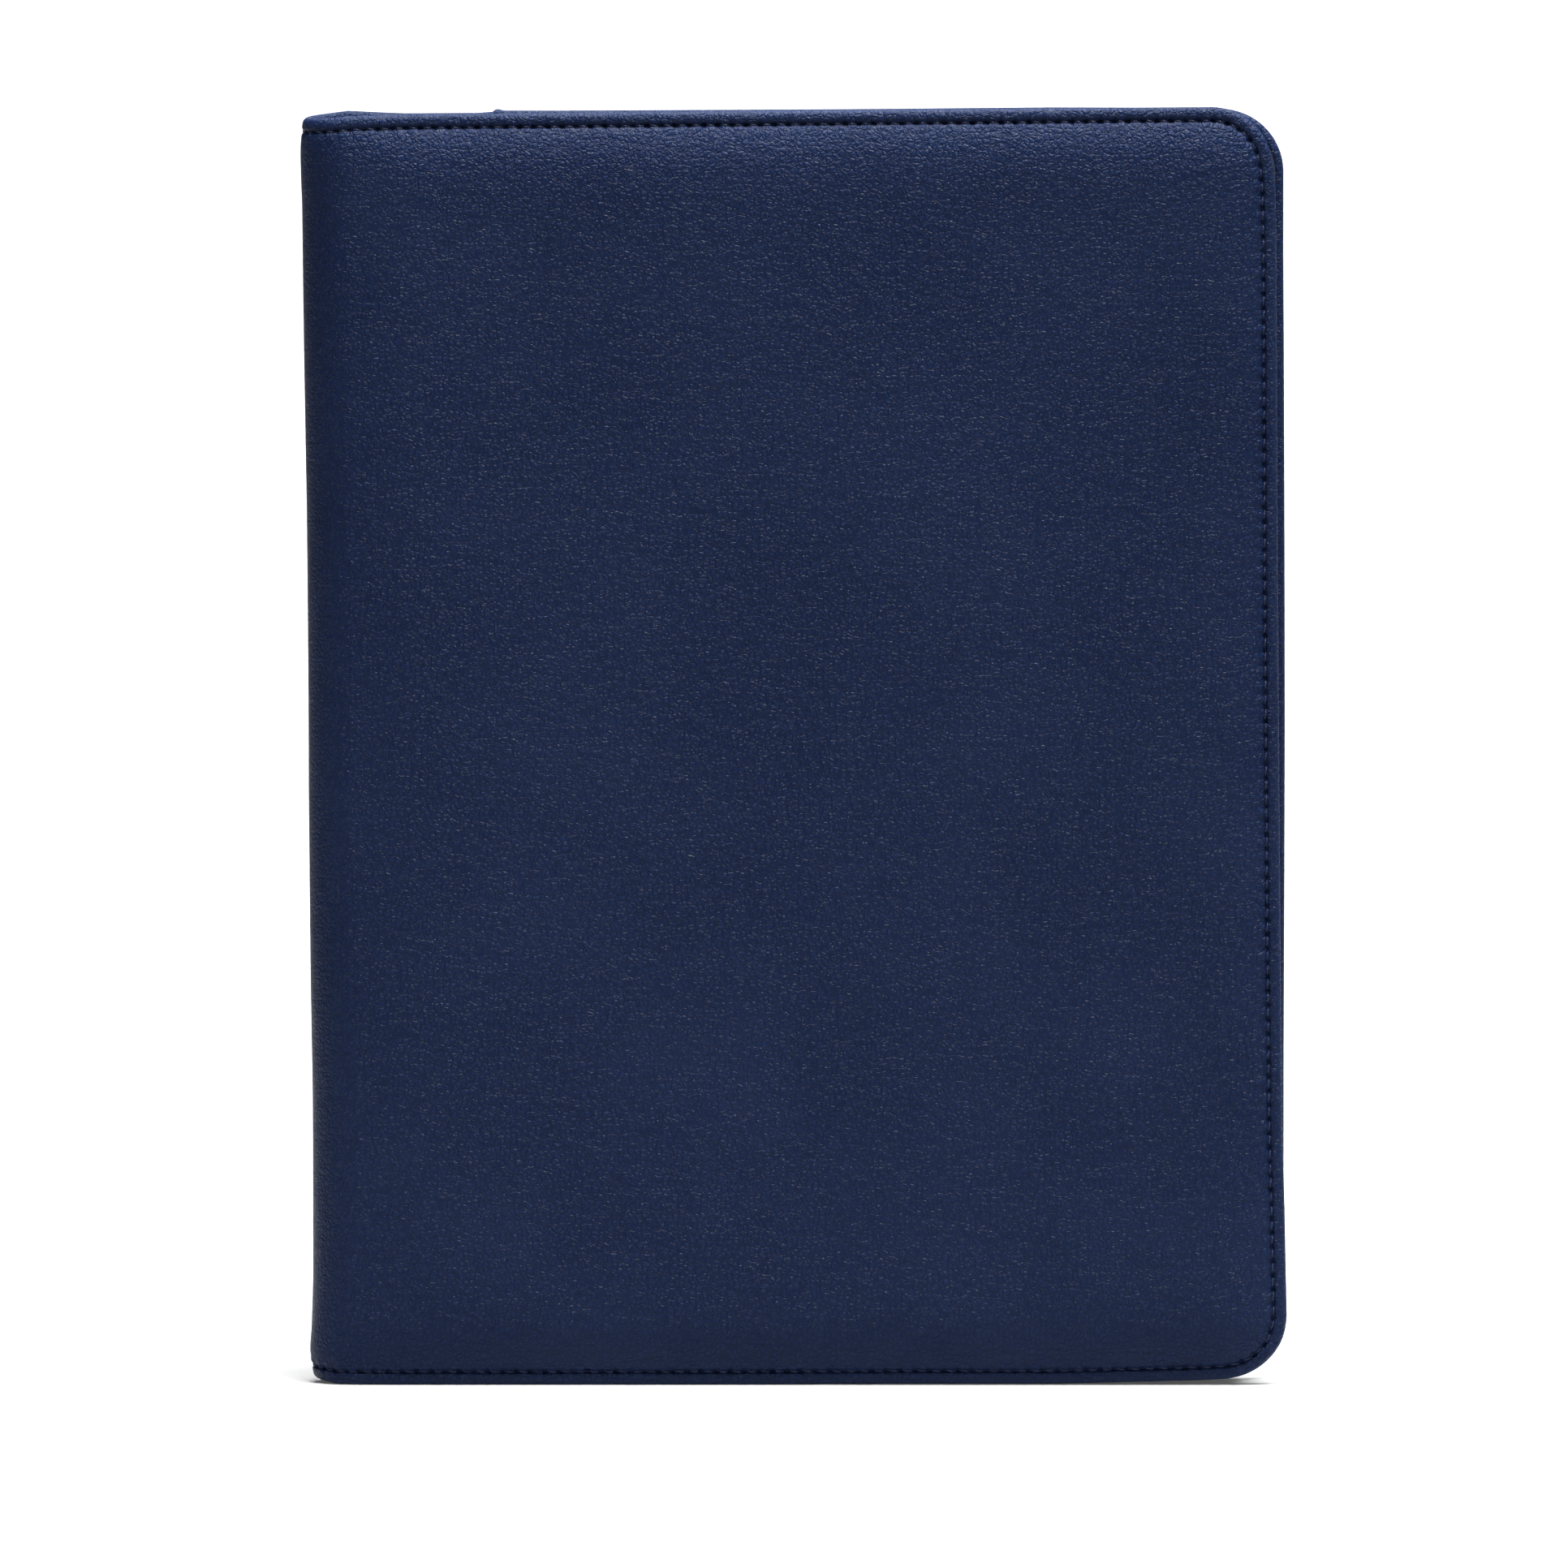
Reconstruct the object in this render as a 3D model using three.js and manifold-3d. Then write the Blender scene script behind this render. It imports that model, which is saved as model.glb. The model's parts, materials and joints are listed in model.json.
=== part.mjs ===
// A navy leather keyboard case for a 13-inch class tablet, standing closed on its lower edge.
// Millimetres. X runs from the round spine to the free edge, Y from the front cover to the rear
// cover, and Z is up. The origin is the middle of the base.
import * as THREE from "three";
import { mergeVertices } from "three/addons/utils/BufferGeometryUtils.js";
import Module from "manifold-3d";

const wasm = await Module();
wasm.setup();

// The closed case
const WIDTH = 231;
const THICKNESS = 22;
const HEIGHT = 300;
const EDGE_X = WIDTH / 2;
const FACE_Y = THICKNESS / 2;
const SPINE_RADIUS = THICKNESS / 2;
const HINGE_X = SPINE_RADIUS - EDGE_X;
const FOLD_X = -71.3;
const CORNER_RADIUS = 15;
const HINGE_GAP = 0.3;
const ARC_STEPS = 3;
const SPINE_STEPS = 9;

// Each cover is laminated from four layers, given as depths from its outer face
const LEATHER = [0, 1.1];
const FOAM = [1.15, 2.35];
const BOARD = [2.4, 3.7];
const LINING = [3.75, 4.4];
const TURNED_EDGE = 1.1;
const CORE_INSET = 1.6;
const LINING_INSET = 2;
const CORE_SETBACK = 3;
const FRONT = -1;
const REAR = 1;

// Closure magnets, let into the boards along the free edge
const MAGNET = { width: 8, height: 26, x: 106, heights: [75, 225], fit: 0.3 };

// Camera window and its ring, near the free edge of the rear panel
const CAMERA = { x: 88, z: 268, size: 40, radius: 9, ring: 2.2, fit: 0.3 };

// Tablet tray, riveted to the rear panel only; it reaches over the stand flap into the spine
const TRAY = {
  x0: -107, x1: 111, margin: 7.9, back: 6.5, floor: 1.1, rimFront: -0.7, wall: 1.05,
  lowRadius: 6, highRadius: 12,
};
const TRAY_CUT_OUTS = [
  { name: "port", end: "top", x: 2, width: 16 },
  { name: "speaker", end: "top", x: -70, width: 36 },
  { name: "speaker", end: "top", x: 62, width: 36 },
  { name: "speaker", end: "bottom", x: -70, width: 36 },
  { name: "speaker", end: "bottom", x: 62, width: 36 },
];
const BUTTON_CUT_OUT = { z: 228, width: 50 };
const RIVET = { head: 3, shank: 1.5, headDepth: 0.5, fit: 0.15, sides: 12, xs: [-60, 55], zs: [30, 270] };

// Keyboard module on the inside of the front cover; its left end is at the top
const MODULE = { x0: -93, x1: 110, z0: 8, z1: 292, radius: 3, freeRadius: 9, wall: 1.2 };
const BASE_Y = [-6.5, -3.25];
const FLOOR_TOP = -5.7;
const DECK_Y = [-3.2, -2.4];
const MEMBRANE_Y = [-5.65, -5.35];
const DOME_Y = [-5.3, -5.0];
const KEY_TOP = -1.2;
const KEY_WEB_Y = [-3.9, -3.4];
const KEY_WEB_WIDTH = 5;
const KEY_PITCH = 18.5;
const KEY_GAP = 1.9;
const KEY_WELL_FIT = 0.4;
const FUNCTION_DEPTH = 11;
const KEYS_X0 = MODULE.x0 + 2.75;
const KEYS_LEFT_Z = HEIGHT / 2 + 7.5 * KEY_PITCH;
const MEMBRANE_X1 = 14;

// Palm rest and trackpad
const PALM_X0 = 18;
const PALM_FOAM_Y = [-2.35, -1.85];
const PALM_COVER_Y = [-1.8, -1.3];
const PALM_INSET = 1.5;
const PAD = { x: 60, z: HEIGHT / 2, depth: 62, width: 106, radius: 4, fit: 0.5, y: [-2.6, -1.6] };
const PAD_SWITCH = { x: 80, size: 6, y: [-5.6, -3.0] };

// Electronics between the base and the deck
const BATTERY = { x: [24, 94], z: [22, 92], y: [-5.6, -4.4] };
const CONTROL_BOARD = { x: [26, 58], z: [212, 282], y: [-5.6, -4.8] };
const PORT = { x: 28.5, width: 9, depth: 7, y: [-6.35, -3.3], wall: 0.4, fit: 0.3 };
const SLIDER = { x: 42, width: 4.5, proud: 0.4, depth: 2.4, travel: 2.5, y: [-5.1, -3.9], fit: 0.4 };
const LIGHT = { x: -91.6, z: 20, width: 1.2, length: 3, fit: 0.15 };

const finish = (color, roughness, metalness = 0) =>
  new THREE.MeshStandardMaterial({ color, roughness, metalness });
const NAVY_LEATHER = finish(0x1f2b47, 0.55);
const FOAM_GREY = finish(0x8a8d92, 0.95);
const BOARD_GREY = finish(0x6d675e, 0.9);
const MICROSUEDE = finish(0x262c3a, 0.95);
const MAGNET_STEEL = finish(0xa9abae, 0.35, 1);
const TRAY_PLASTIC = finish(0x20242c, 0.5);
const DECK_PLASTIC = finish(0x23272f, 0.45);
const KEY_PLASTIC = finish(0x15171b, 0.55);
const CLEAR_FILM = finish(0xb8bdb9, 0.4);
const DOME_RUBBER = finish(0xd4d4cf, 0.8);
const BOARD_GREEN = finish(0x1e5a3a, 0.5);
const POUCH_FOIL = finish(0xb7bac0, 0.4, 0.8);
const PORT_STEEL = finish(0xc0c2c6, 0.3, 1);
const PAD_GLASS = finish(0x1b1e25, 0.25);
const LENS_WHITE = finish(0xe8ecef, 0.3);

// A geometry as a manifold solid, and back
function toSolid(geometry) {
  const bare = geometry.clone();
  bare.deleteAttribute("normal");
  bare.deleteAttribute("uv");
  const merged = mergeVertices(bare);
  const vertProperties = merged.attributes.position.array;
  const triVerts = merged.index.array;
  return new wasm.Manifold(new wasm.Mesh({ numProp: 3, vertProperties, triVerts }));
}

function toGeometry(solid) {
  const mesh = solid.getMesh();
  const geometry = new THREE.BufferGeometry();
  geometry.setAttribute("position", new THREE.BufferAttribute(mesh.vertProperties, 3));
  geometry.setIndex(new THREE.BufferAttribute(mesh.triVerts, 1));
  geometry.computeVertexNormals();
  return geometry;
}

const cut = (geometry, ...tools) =>
  toGeometry(tools.reduce((solid, tool) => solid.subtract(toSolid(tool)), toSolid(geometry)));
const join = (...geometries) =>
  toGeometry(geometries.map(toSolid).reduce((whole, solid) => whole.add(solid)));

// A rectangle in X and Z, its corners rounded by one radius at low X and another at high X
function rectangle(x0, x1, z0, z1, lowRadius = 0, highRadius = lowRadius, path = new THREE.Shape()) {
  const corners = [
    [x1, z0, highRadius, -1, 1],
    [x1, z1, highRadius, -1, -1],
    [x0, z1, lowRadius, 1, -1],
    [x0, z0, lowRadius, 1, 1],
  ];
  corners.forEach(([x, z, radius, inX, inZ], turn) => {
    const start = ((turn - 1) * Math.PI) / 2;
    if (radius > 0) {
      path.absarc(x + inX * radius, z + inZ * radius, radius, start, start + Math.PI / 2);
    } else if (turn === 0) {
      path.moveTo(x, z);
    } else {
      path.lineTo(x, z);
    }
  });
  return path;
}

const hole = (...sizes) => rectangle(...sizes.slice(0, 4), sizes[4], sizes[4], new THREE.Path());

// A flat plate: an outline in X and Z, from one Y to a higher one
function plate(shape, [y0, y1]) {
  const options = { depth: y1 - y0, bevelEnabled: false, curveSegments: ARC_STEPS };
  const geometry = new THREE.ExtrudeGeometry(shape, options);
  geometry.rotateX(Math.PI / 2);
  geometry.translate(0, y1, 0);
  return geometry;
}

function box([x0, x1], [y0, y1], [z0, z1]) {
  const geometry = new THREE.BoxGeometry(x1 - x0, y1 - y0, z1 - z0);
  geometry.translate((x0 + x1) / 2, (y0 + y1) / 2, (z0 + z1) / 2);
  return geometry;
}

// The Y span of a layer, from its depths under the front or the rear face
const layer = (side, [outer, inner]) =>
  [side * (FACE_Y - outer), side * (FACE_Y - inner)].sort((a, b) => a - b);

function part(group, name, geometry, material) {
  const mesh = new THREE.Mesh(geometry, material);
  mesh.name = name;
  group.add(mesh);
}

const cameraHole = (growth) => {
  const half = CAMERA.size / 2 + growth;
  const { x, z } = CAMERA;
  return hole(x - half, x + half, z - half, z + half, CAMERA.radius + growth);
};
const magnetSpan = (z, growth) => [
  [MAGNET.x - MAGNET.width / 2 - growth, MAGNET.x + MAGNET.width / 2 + growth],
  [z - MAGNET.height / 2 - growth, z + MAGNET.height / 2 + growth],
];
const rivetPlaces = RIVET.xs.flatMap((x) => RIVET.zs.map((z) => [x, z]));

// Discs that cut the rivets' holes, from one Y to a higher one
const rivetCutters = (radius, [y0, y1]) => rivetPlaces.map(([x, z]) => {
  const disc = new THREE.CylinderGeometry(radius, radius, y1 - y0, RIVET.sides);
  disc.translate(x, (y0 + y1) / 2, z);
  return disc;
});

// A leather skin whose edge is turned over the board on its free sides
function leatherSkin(side, x0, x1, radius, turnedLow, turnedHigh, holes = []) {
  const shape = rectangle(x0, x1, 0, HEIGHT, 0, radius);
  shape.holes.push(...holes);
  const skin = plate(shape, layer(side, [LEATHER[0], BOARD[1]]));
  const pocketX0 = turnedLow ? x0 + TURNED_EDGE : x0 - 1;
  const pocketX1 = turnedHigh ? x1 - TURNED_EDGE : x1 + 1;
  const pocketRadius = Math.max(radius - TURNED_EDGE, 0);
  const pocket = rectangle(
    pocketX0, pocketX1, TURNED_EDGE, HEIGHT - TURNED_EDGE, 0, pocketRadius,
  );
  return cut(skin, plate(pocket, layer(side, [LEATHER[1], BOARD[1] + 1])));
}

// A foam, board or lining sheet of a cover, set back from the edges
function coreSheet(side, depths, x0, x1, inset, radius, holes = []) {
  const shape = rectangle(x0, x1, inset, HEIGHT - inset, 0, radius);
  shape.holes.push(...holes);
  return plate(shape, layer(side, depths));
}

// The laminated layers of one cover panel, with its closure magnets where it has them
function coverPanel(group, name, side, span, options = {}) {
  const { radius = 0, free = false, camera = false, magnets = false, rivets = false } = options;
  const [x0, x1, coreX0, coreX1] = span;
  const window = camera ? [cameraHole(CAMERA.fit)] : [];
  const magnetHoles = magnets
    ? MAGNET.heights.map((z) => hole(...magnetSpan(z, MAGNET.fit).flat()))
    : [];
  const rivetCuts = rivets ? rivetCutters(RIVET.shank + RIVET.fit, [0, FACE_Y]) : [];
  const core = (depths, inset, holes) => {
    const edge = free ? coreX1 - inset : coreX1;
    return coreSheet(side, depths, coreX0, edge, inset, Math.max(radius - inset, 0), holes);
  };
  part(group, name + "_leather", leatherSkin(side, x0, x1, radius, false, free, window), NAVY_LEATHER);
  part(group, name + "_foam", core(FOAM, CORE_INSET, window), FOAM_GREY);
  const board = cut(core(BOARD, CORE_INSET, [...window, ...magnetHoles]), ...rivetCuts);
  part(group, name + "_board", board, BOARD_GREY);
  const lining = cut(core(LINING, LINING_INSET, window), ...rivetCuts);
  part(group, name + "_lining", lining, MICROSUEDE);
  magnetHoles.forEach((_, index) => {
    const bar = rectangle(...magnetSpan(MAGNET.heights[index], 0).flat());
    const depths = [BOARD[0] + 0.05, BOARD[1] - 0.05];
    part(group, `closure_magnet_${name}_${index + 1}`, plate(bar, layer(side, depths)), MAGNET_STEEL);
  });
}

// One curved layer of the round spine, as a C seen from above
function spineLayer(outer, inner, endAngle) {
  const shape = new THREE.Shape();
  const start = Math.PI / 2 + endAngle;
  const end = 1.5 * Math.PI - endAngle;
  shape.absarc(HINGE_X, 0, outer, start, end, false);
  shape.absarc(HINGE_X, 0, inner, end, start, true);
  return new THREE.ExtrudeGeometry(shape, { depth: HEIGHT, bevelEnabled: false, curveSegments: SPINE_STEPS });
}

function shorten(geometry, inset) {
  geometry.scale(1, 1, (HEIGHT - 2 * inset) / HEIGHT);
  geometry.translate(0, 0, inset);
  return geometry;
}

function makeSpine() {
  const group = new THREE.Group();
  const gapAngle = Math.asin(HINGE_GAP / SPINE_RADIUS);
  part(group, "spine_leather", spineLayer(11, 9.9, gapAngle), NAVY_LEATHER);
  part(group, "spine_stiffener", shorten(spineLayer(9.83, 9.43, 4 * gapAngle), CORE_INSET), BOARD_GREY);
  part(group, "spine_lining", shorten(spineLayer(9.36, 9.0, 3 * gapAngle), LINING_INSET), MICROSUEDE);
  return group;
}

// The tray: a floor and a low rim around the tablet, with cut-outs for its port, speakers and buttons
function trayGeometry() {
  const { x0, x1, margin, back, floor, rimFront, wall, lowRadius, highRadius } = TRAY;
  const [z0, z1] = [margin, HEIGHT - margin];
  const outer = rectangle(x0, x1, z0, z1, lowRadius, highRadius);
  outer.holes.push(cameraHole(-CAMERA.ring));
  const bay = rectangle(
    x0 + wall, x1 - wall, z0 + wall, z1 - wall, lowRadius - wall, highRadius - wall,
  );
  const floorFront = back - floor;
  const notchY = [rimFront - 1, floorFront - 0.9];
  const notches = TRAY_CUT_OUTS.map(({ end, x, width }) => {
    const z = end === "top" ? [z1 - 2 * wall, z1 + 1] : [z0 - 1, z0 + 2 * wall];
    return box([x - width / 2, x + width / 2], notchY, z);
  });
  const buttons = box([x1 - 2 * wall, x1 + 1], notchY,
    [BUTTON_CUT_OUT.z - BUTTON_CUT_OUT.width / 2, BUTTON_CUT_OUT.z + BUTTON_CUT_OUT.width / 2]);
  const seat = floorFront + RIVET.headDepth + 0.1;
  const counterbores = rivetCutters(RIVET.head + RIVET.fit, [rimFront, seat]);
  const shankHoles = rivetCutters(RIVET.shank + RIVET.fit, [rimFront, back + 1]);
  return cut(plate(outer, [rimFront, back]), plate(bay, [rimFront - 1, floorFront]),
    ...notches, buttons, ...counterbores, ...shankHoles);
}

// A flat-headed rivet through the tray floor, the lining and the board
function rivetGeometry(x, z) {
  const front = TRAY.back - TRAY.floor + 0.05;
  const shoulder = front + RIVET.headDepth;
  const tail = FACE_Y - BOARD[0] - 0.05;
  const profile = [
    [0, front], [RIVET.head, front], [RIVET.head, shoulder],
    [RIVET.shank, shoulder], [RIVET.shank, tail], [0, tail],
  ].map(([r, y]) => new THREE.Vector2(r, y));
  const geometry = new THREE.LatheGeometry(profile, RIVET.sides);
  geometry.translate(x, 0, z);
  return geometry;
}

function makeRearPanel() {
  const group = new THREE.Group();
  const start = FOLD_X + HINGE_GAP;
  const span = [start, EDGE_X, start + 0.7, EDGE_X];
  coverPanel(group, "rear", REAR, span,
    { radius: CORNER_RADIUS, free: true, camera: true, magnets: true, rivets: true });
  const ring = rectangle(
    CAMERA.x - CAMERA.size / 2, CAMERA.x + CAMERA.size / 2,
    CAMERA.z - CAMERA.size / 2, CAMERA.z + CAMERA.size / 2, CAMERA.radius,
  );
  ring.holes.push(cameraHole(-CAMERA.ring));
  part(group, "camera_ring", plate(ring, layer(REAR, [0, LINING[1]])), DECK_PLASTIC);
  part(group, "tablet_tray", trayGeometry(), TRAY_PLASTIC);
  rivetPlaces.forEach(([x, z], index) => {
    part(group, `tray_rivet_${index + 1}`, rivetGeometry(x, z), PORT_STEEL);
  });
  return group;
}

function makeStandFlap() {
  const group = new THREE.Group();
  const span = [HINGE_X + HINGE_GAP, FOLD_X - HINGE_GAP, HINGE_X + CORE_SETBACK, FOLD_X - 1];
  coverPanel(group, "flap", REAR, span);
  return group;
}

// The keys: each cell names its node, and cells that share a node travel together
const cells = (node, count = 1, units = 1) => Array.from({ length: count }, () => ({ node, units }));
const KEY_ROWS = [
  [...cells("escape_key", 1, 1.5), ...cells("function_keys", 12), ...cells("function_keys", 1, 1.5)],
  [...cells("number_keys", 13), ...cells("backspace_key", 1, 2)],
  [...cells("tab_key", 1, 1.5), ...cells("top_letter_keys", 12), ...cells("backslash_key", 1, 1.5)],
  [...cells("caps_lock_key", 1, 1.75), ...cells("home_letter_keys", 11), ...cells("enter_key", 1, 2.25)],
  [...cells("left_shift_key", 1, 2.25), ...cells("bottom_letter_keys", 10),
    ...cells("right_shift_key", 1, 2.75)],
  [...cells("left_modifier_keys", 3), ...cells("left_modifier_keys", 1, 1.25),
    ...cells("space_bar", 1, 5.5), ...cells("right_modifier_keys", 1, 1.25),
    ...cells("right_modifier_keys"), ...cells("left_arrow_key"), { node: "up_down", units: 1 },
    ...cells("right_arrow_key")],
];

// Every keycap as its node and its span in X and Z
function keyPlan() {
  const caps = [];
  let x = KEYS_X0;
  KEY_ROWS.forEach((row, index) => {
    const depth = index === 0 ? FUNCTION_DEPTH : KEY_PITCH;
    let z = KEYS_LEFT_Z;
    row.forEach(({ node, units }) => {
      const zSpan = [z - units * KEY_PITCH + KEY_GAP / 2, z - KEY_GAP / 2];
      const far = [x + KEY_GAP / 2, x + (depth - KEY_GAP) / 2];
      const near = [x + (depth + KEY_GAP) / 2, x + depth - KEY_GAP / 2];
      if (node === "up_down") {
        caps.push({ node: "up_arrow_key", x: far, z: zSpan });
        caps.push({ node: "down_arrow_key", x: near, z: zSpan });
      } else if (node.endsWith("arrow_key")) {
        caps.push({ node, x: near, z: zSpan });
      } else {
        caps.push({ node, x: [far[0], near[1]], z: zSpan });
      }
      z -= units * KEY_PITCH;
    });
    x += depth;
  });
  return caps;
}

// The caps of one node, held together under the deck by a thin web
function keyGeometry(caps) {
  const middle = (caps[0].x[0] + caps[0].x[1]) / 2;
  const bodies = caps.map((cap) => box(cap.x, [KEY_WEB_Y[0] + 0.2, KEY_TOP], cap.z));
  const zs = caps.flatMap((cap) => cap.z);
  const webX = [middle - KEY_WEB_WIDTH / 2, middle + KEY_WEB_WIDTH / 2];
  const web = box(webX, KEY_WEB_Y, [Math.min(...zs) + 1, Math.max(...zs) - 1]);
  return join(web, ...bodies);
}

const moduleOutline = (inset) => rectangle(
  MODULE.x0 + inset, MODULE.x1 - inset, MODULE.z0 + inset, MODULE.z1 - inset,
  MODULE.radius - inset, MODULE.freeRadius - inset,
);
const padHole = (growth) => hole(
  PAD.x - PAD.depth / 2 - growth, PAD.x + PAD.depth / 2 + growth,
  PAD.z - PAD.width / 2 - growth, PAD.z + PAD.width / 2 + growth, PAD.radius + growth,
);

function baseGeometry() {
  const { x, width, depth, fit } = PORT;
  const slotX = [SLIDER.x - SLIDER.fit, SLIDER.x + SLIDER.width + SLIDER.travel + SLIDER.fit];
  const slotY = [SLIDER.y[0] - SLIDER.fit, SLIDER.y[1] + SLIDER.fit];
  const { z0, wall } = MODULE;
  return cut(
    plate(moduleOutline(0), BASE_Y),
    plate(moduleOutline(wall), [FLOOR_TOP, BASE_Y[1] + 1]),
    box([x - width / 2 - fit, x + width / 2 + fit], [BASE_Y[0] - 1, BASE_Y[1] + 1],
      [z0 - 1, z0 + depth + fit]),
    box(slotX, slotY, [z0 - 1, z0 + 2 * wall]),
  );
}

function deckGeometry(caps) {
  const shape = moduleOutline(0);
  shape.holes.push(padHole(PAD.fit));
  const through = [DECK_Y[0] - 1, DECK_Y[1] + 1];
  const grow = ([low, high], fit) => [low - fit, high + fit];
  const wells = caps.map(({ x, z }) => box(grow(x, KEY_WELL_FIT), through, grow(z, KEY_WELL_FIT)));
  const { x, z, width, length, fit } = LIGHT;
  const lightHole = box(grow([x, x], width / 2 + fit), through, grow([z, z], length / 2 + fit));
  return cut(plate(shape, DECK_Y), ...wells, lightHole);
}

function portGeometry() {
  const { x, width, depth, y, wall } = PORT;
  const { z0 } = MODULE;
  const shell = box([x - width / 2, x + width / 2], y, [z0, z0 + depth]);
  const mouth = box([x - width / 2 + wall, x + width / 2 - wall], [y[0] + wall, y[1] - wall],
    [z0 - 1, z0 + depth - 1]);
  return cut(shell, mouth);
}

function makeKeyboard() {
  const group = new THREE.Group();
  const caps = keyPlan();
  part(group, "keyboard_base", baseGeometry(), DECK_PLASTIC);
  part(group, "key_deck", deckGeometry(caps), DECK_PLASTIC);
  const under = MODULE.wall + 0.8;
  const sheet = [[MODULE.x0 + under, MEMBRANE_X1], [MODULE.z0 + under, MODULE.z1 - under]];
  part(group, "circuit_membrane", box(sheet[0], MEMBRANE_Y, sheet[1]), CLEAR_FILM);
  part(group, "dome_sheet", box(sheet[0], DOME_Y, sheet[1]), DOME_RUBBER);
  part(group, "battery_cell", box(BATTERY.x, BATTERY.y, BATTERY.z), POUCH_FOIL);
  part(group, "control_board", box(CONTROL_BOARD.x, CONTROL_BOARD.y, CONTROL_BOARD.z), BOARD_GREEN);
  part(group, "charging_port", portGeometry(), PORT_STEEL);
  const lightX = [LIGHT.x - LIGHT.width / 2, LIGHT.x + LIGHT.width / 2];
  const lightZ = [LIGHT.z - LIGHT.length / 2, LIGHT.z + LIGHT.length / 2];
  part(group, "status_light", box(lightX, DECK_Y, lightZ), LENS_WHITE);
  const knobZ = [MODULE.z0 - SLIDER.proud, MODULE.z0 - SLIDER.proud + SLIDER.depth];
  part(group, "power_slider", box([SLIDER.x, SLIDER.x + SLIDER.width], SLIDER.y, knobZ), KEY_PLASTIC);
  for (const node of new Set(caps.map((cap) => cap.node))) {
    part(group, node, keyGeometry(caps.filter((cap) => cap.node === node)), KEY_PLASTIC);
  }
  return group;
}

function makePalmRest() {
  const group = new THREE.Group();
  const sheet = (y) => {
    const shape = rectangle(
      PALM_X0, MODULE.x1 - PALM_INSET, MODULE.z0 + PALM_INSET, MODULE.z1 - PALM_INSET,
      MODULE.radius, MODULE.freeRadius - PALM_INSET,
    );
    shape.holes.push(padHole(PAD.fit));
    return plate(shape, y);
  };
  part(group, "palm_rest_foam", sheet(PALM_FOAM_Y), FOAM_GREY);
  part(group, "palm_rest_cover", sheet(PALM_COVER_Y), NAVY_LEATHER);
  const pad = rectangle(
    PAD.x - PAD.depth / 2, PAD.x + PAD.depth / 2, PAD.z - PAD.width / 2, PAD.z + PAD.width / 2,
    PAD.radius,
  );
  part(group, "trackpad", plate(pad, PAD.y), PAD_GLASS);
  const half = PAD_SWITCH.size / 2;
  const button = box([PAD_SWITCH.x - half, PAD_SWITCH.x + half], PAD_SWITCH.y,
    [PAD.z - half, PAD.z + half]);
  part(group, "trackpad_switch", button, PORT_STEEL);
  return group;
}

function makeFrontCover() {
  const group = new THREE.Group();
  const span = [HINGE_X + HINGE_GAP, EDGE_X, HINGE_X + CORE_SETBACK, EDGE_X];
  coverPanel(group, "front", FRONT, span, { radius: CORNER_RADIUS, free: true, magnets: true });
  group.add(makeKeyboard(), makePalmRest());
  return group;
}

const keyboardCase = new THREE.Group();
keyboardCase.add(makeRearPanel(), makeStandFlap(), makeSpine(), makeFrontCover());

export default keyboardCase;
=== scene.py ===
"""Looks for the navy leather tablet keyboard case, standing closed on its lower edge.

Lengths are in millimetres until a mesh is made. Most pieces are drawn on the unrolled case:
g runs round the girth, 0 on the outermost line of the round spine, positive to the front
cover's free edge and negative to the rear cover's, and z is up.
"""

import json
import math
import random

import bmesh
import bpy
import numpy as np
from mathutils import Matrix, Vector
from mathutils.geometry import delaunay_2d_cdt

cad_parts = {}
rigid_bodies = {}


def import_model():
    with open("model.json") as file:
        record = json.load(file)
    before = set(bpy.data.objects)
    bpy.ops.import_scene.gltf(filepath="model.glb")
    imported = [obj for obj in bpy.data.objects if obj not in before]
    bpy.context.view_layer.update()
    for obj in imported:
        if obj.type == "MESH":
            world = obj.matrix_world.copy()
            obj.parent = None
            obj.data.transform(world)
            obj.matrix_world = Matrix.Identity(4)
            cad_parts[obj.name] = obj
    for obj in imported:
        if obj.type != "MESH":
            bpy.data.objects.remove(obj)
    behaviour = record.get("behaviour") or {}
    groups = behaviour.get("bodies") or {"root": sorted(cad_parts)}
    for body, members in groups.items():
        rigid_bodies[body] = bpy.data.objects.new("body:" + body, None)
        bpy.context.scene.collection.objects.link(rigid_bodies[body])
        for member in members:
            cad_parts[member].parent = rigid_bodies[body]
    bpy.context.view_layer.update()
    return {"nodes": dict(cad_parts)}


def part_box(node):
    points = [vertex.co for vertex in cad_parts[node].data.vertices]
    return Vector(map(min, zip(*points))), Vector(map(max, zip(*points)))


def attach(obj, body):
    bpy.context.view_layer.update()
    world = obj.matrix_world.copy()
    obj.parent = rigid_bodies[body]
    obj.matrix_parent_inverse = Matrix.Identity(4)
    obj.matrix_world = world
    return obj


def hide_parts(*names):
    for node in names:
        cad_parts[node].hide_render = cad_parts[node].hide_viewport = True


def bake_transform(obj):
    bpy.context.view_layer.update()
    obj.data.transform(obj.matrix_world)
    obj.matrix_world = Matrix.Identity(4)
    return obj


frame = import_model()

# The case
HEIGHT = 300.0
FACE = 11.0
HINGE_X = -104.5
FOLD_X = -71.3
FREE_X = 115.5
CORNER = 15.0
QUARTER = FACE * math.pi / 2
FRONT_EDGE = QUARTER + FREE_X - HINGE_X
REAR_FOLD = -(QUARTER + FOLD_X - HINGE_X)
SPINE_SEAM = -3.84
FRONT = 1
REAR = -1

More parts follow.
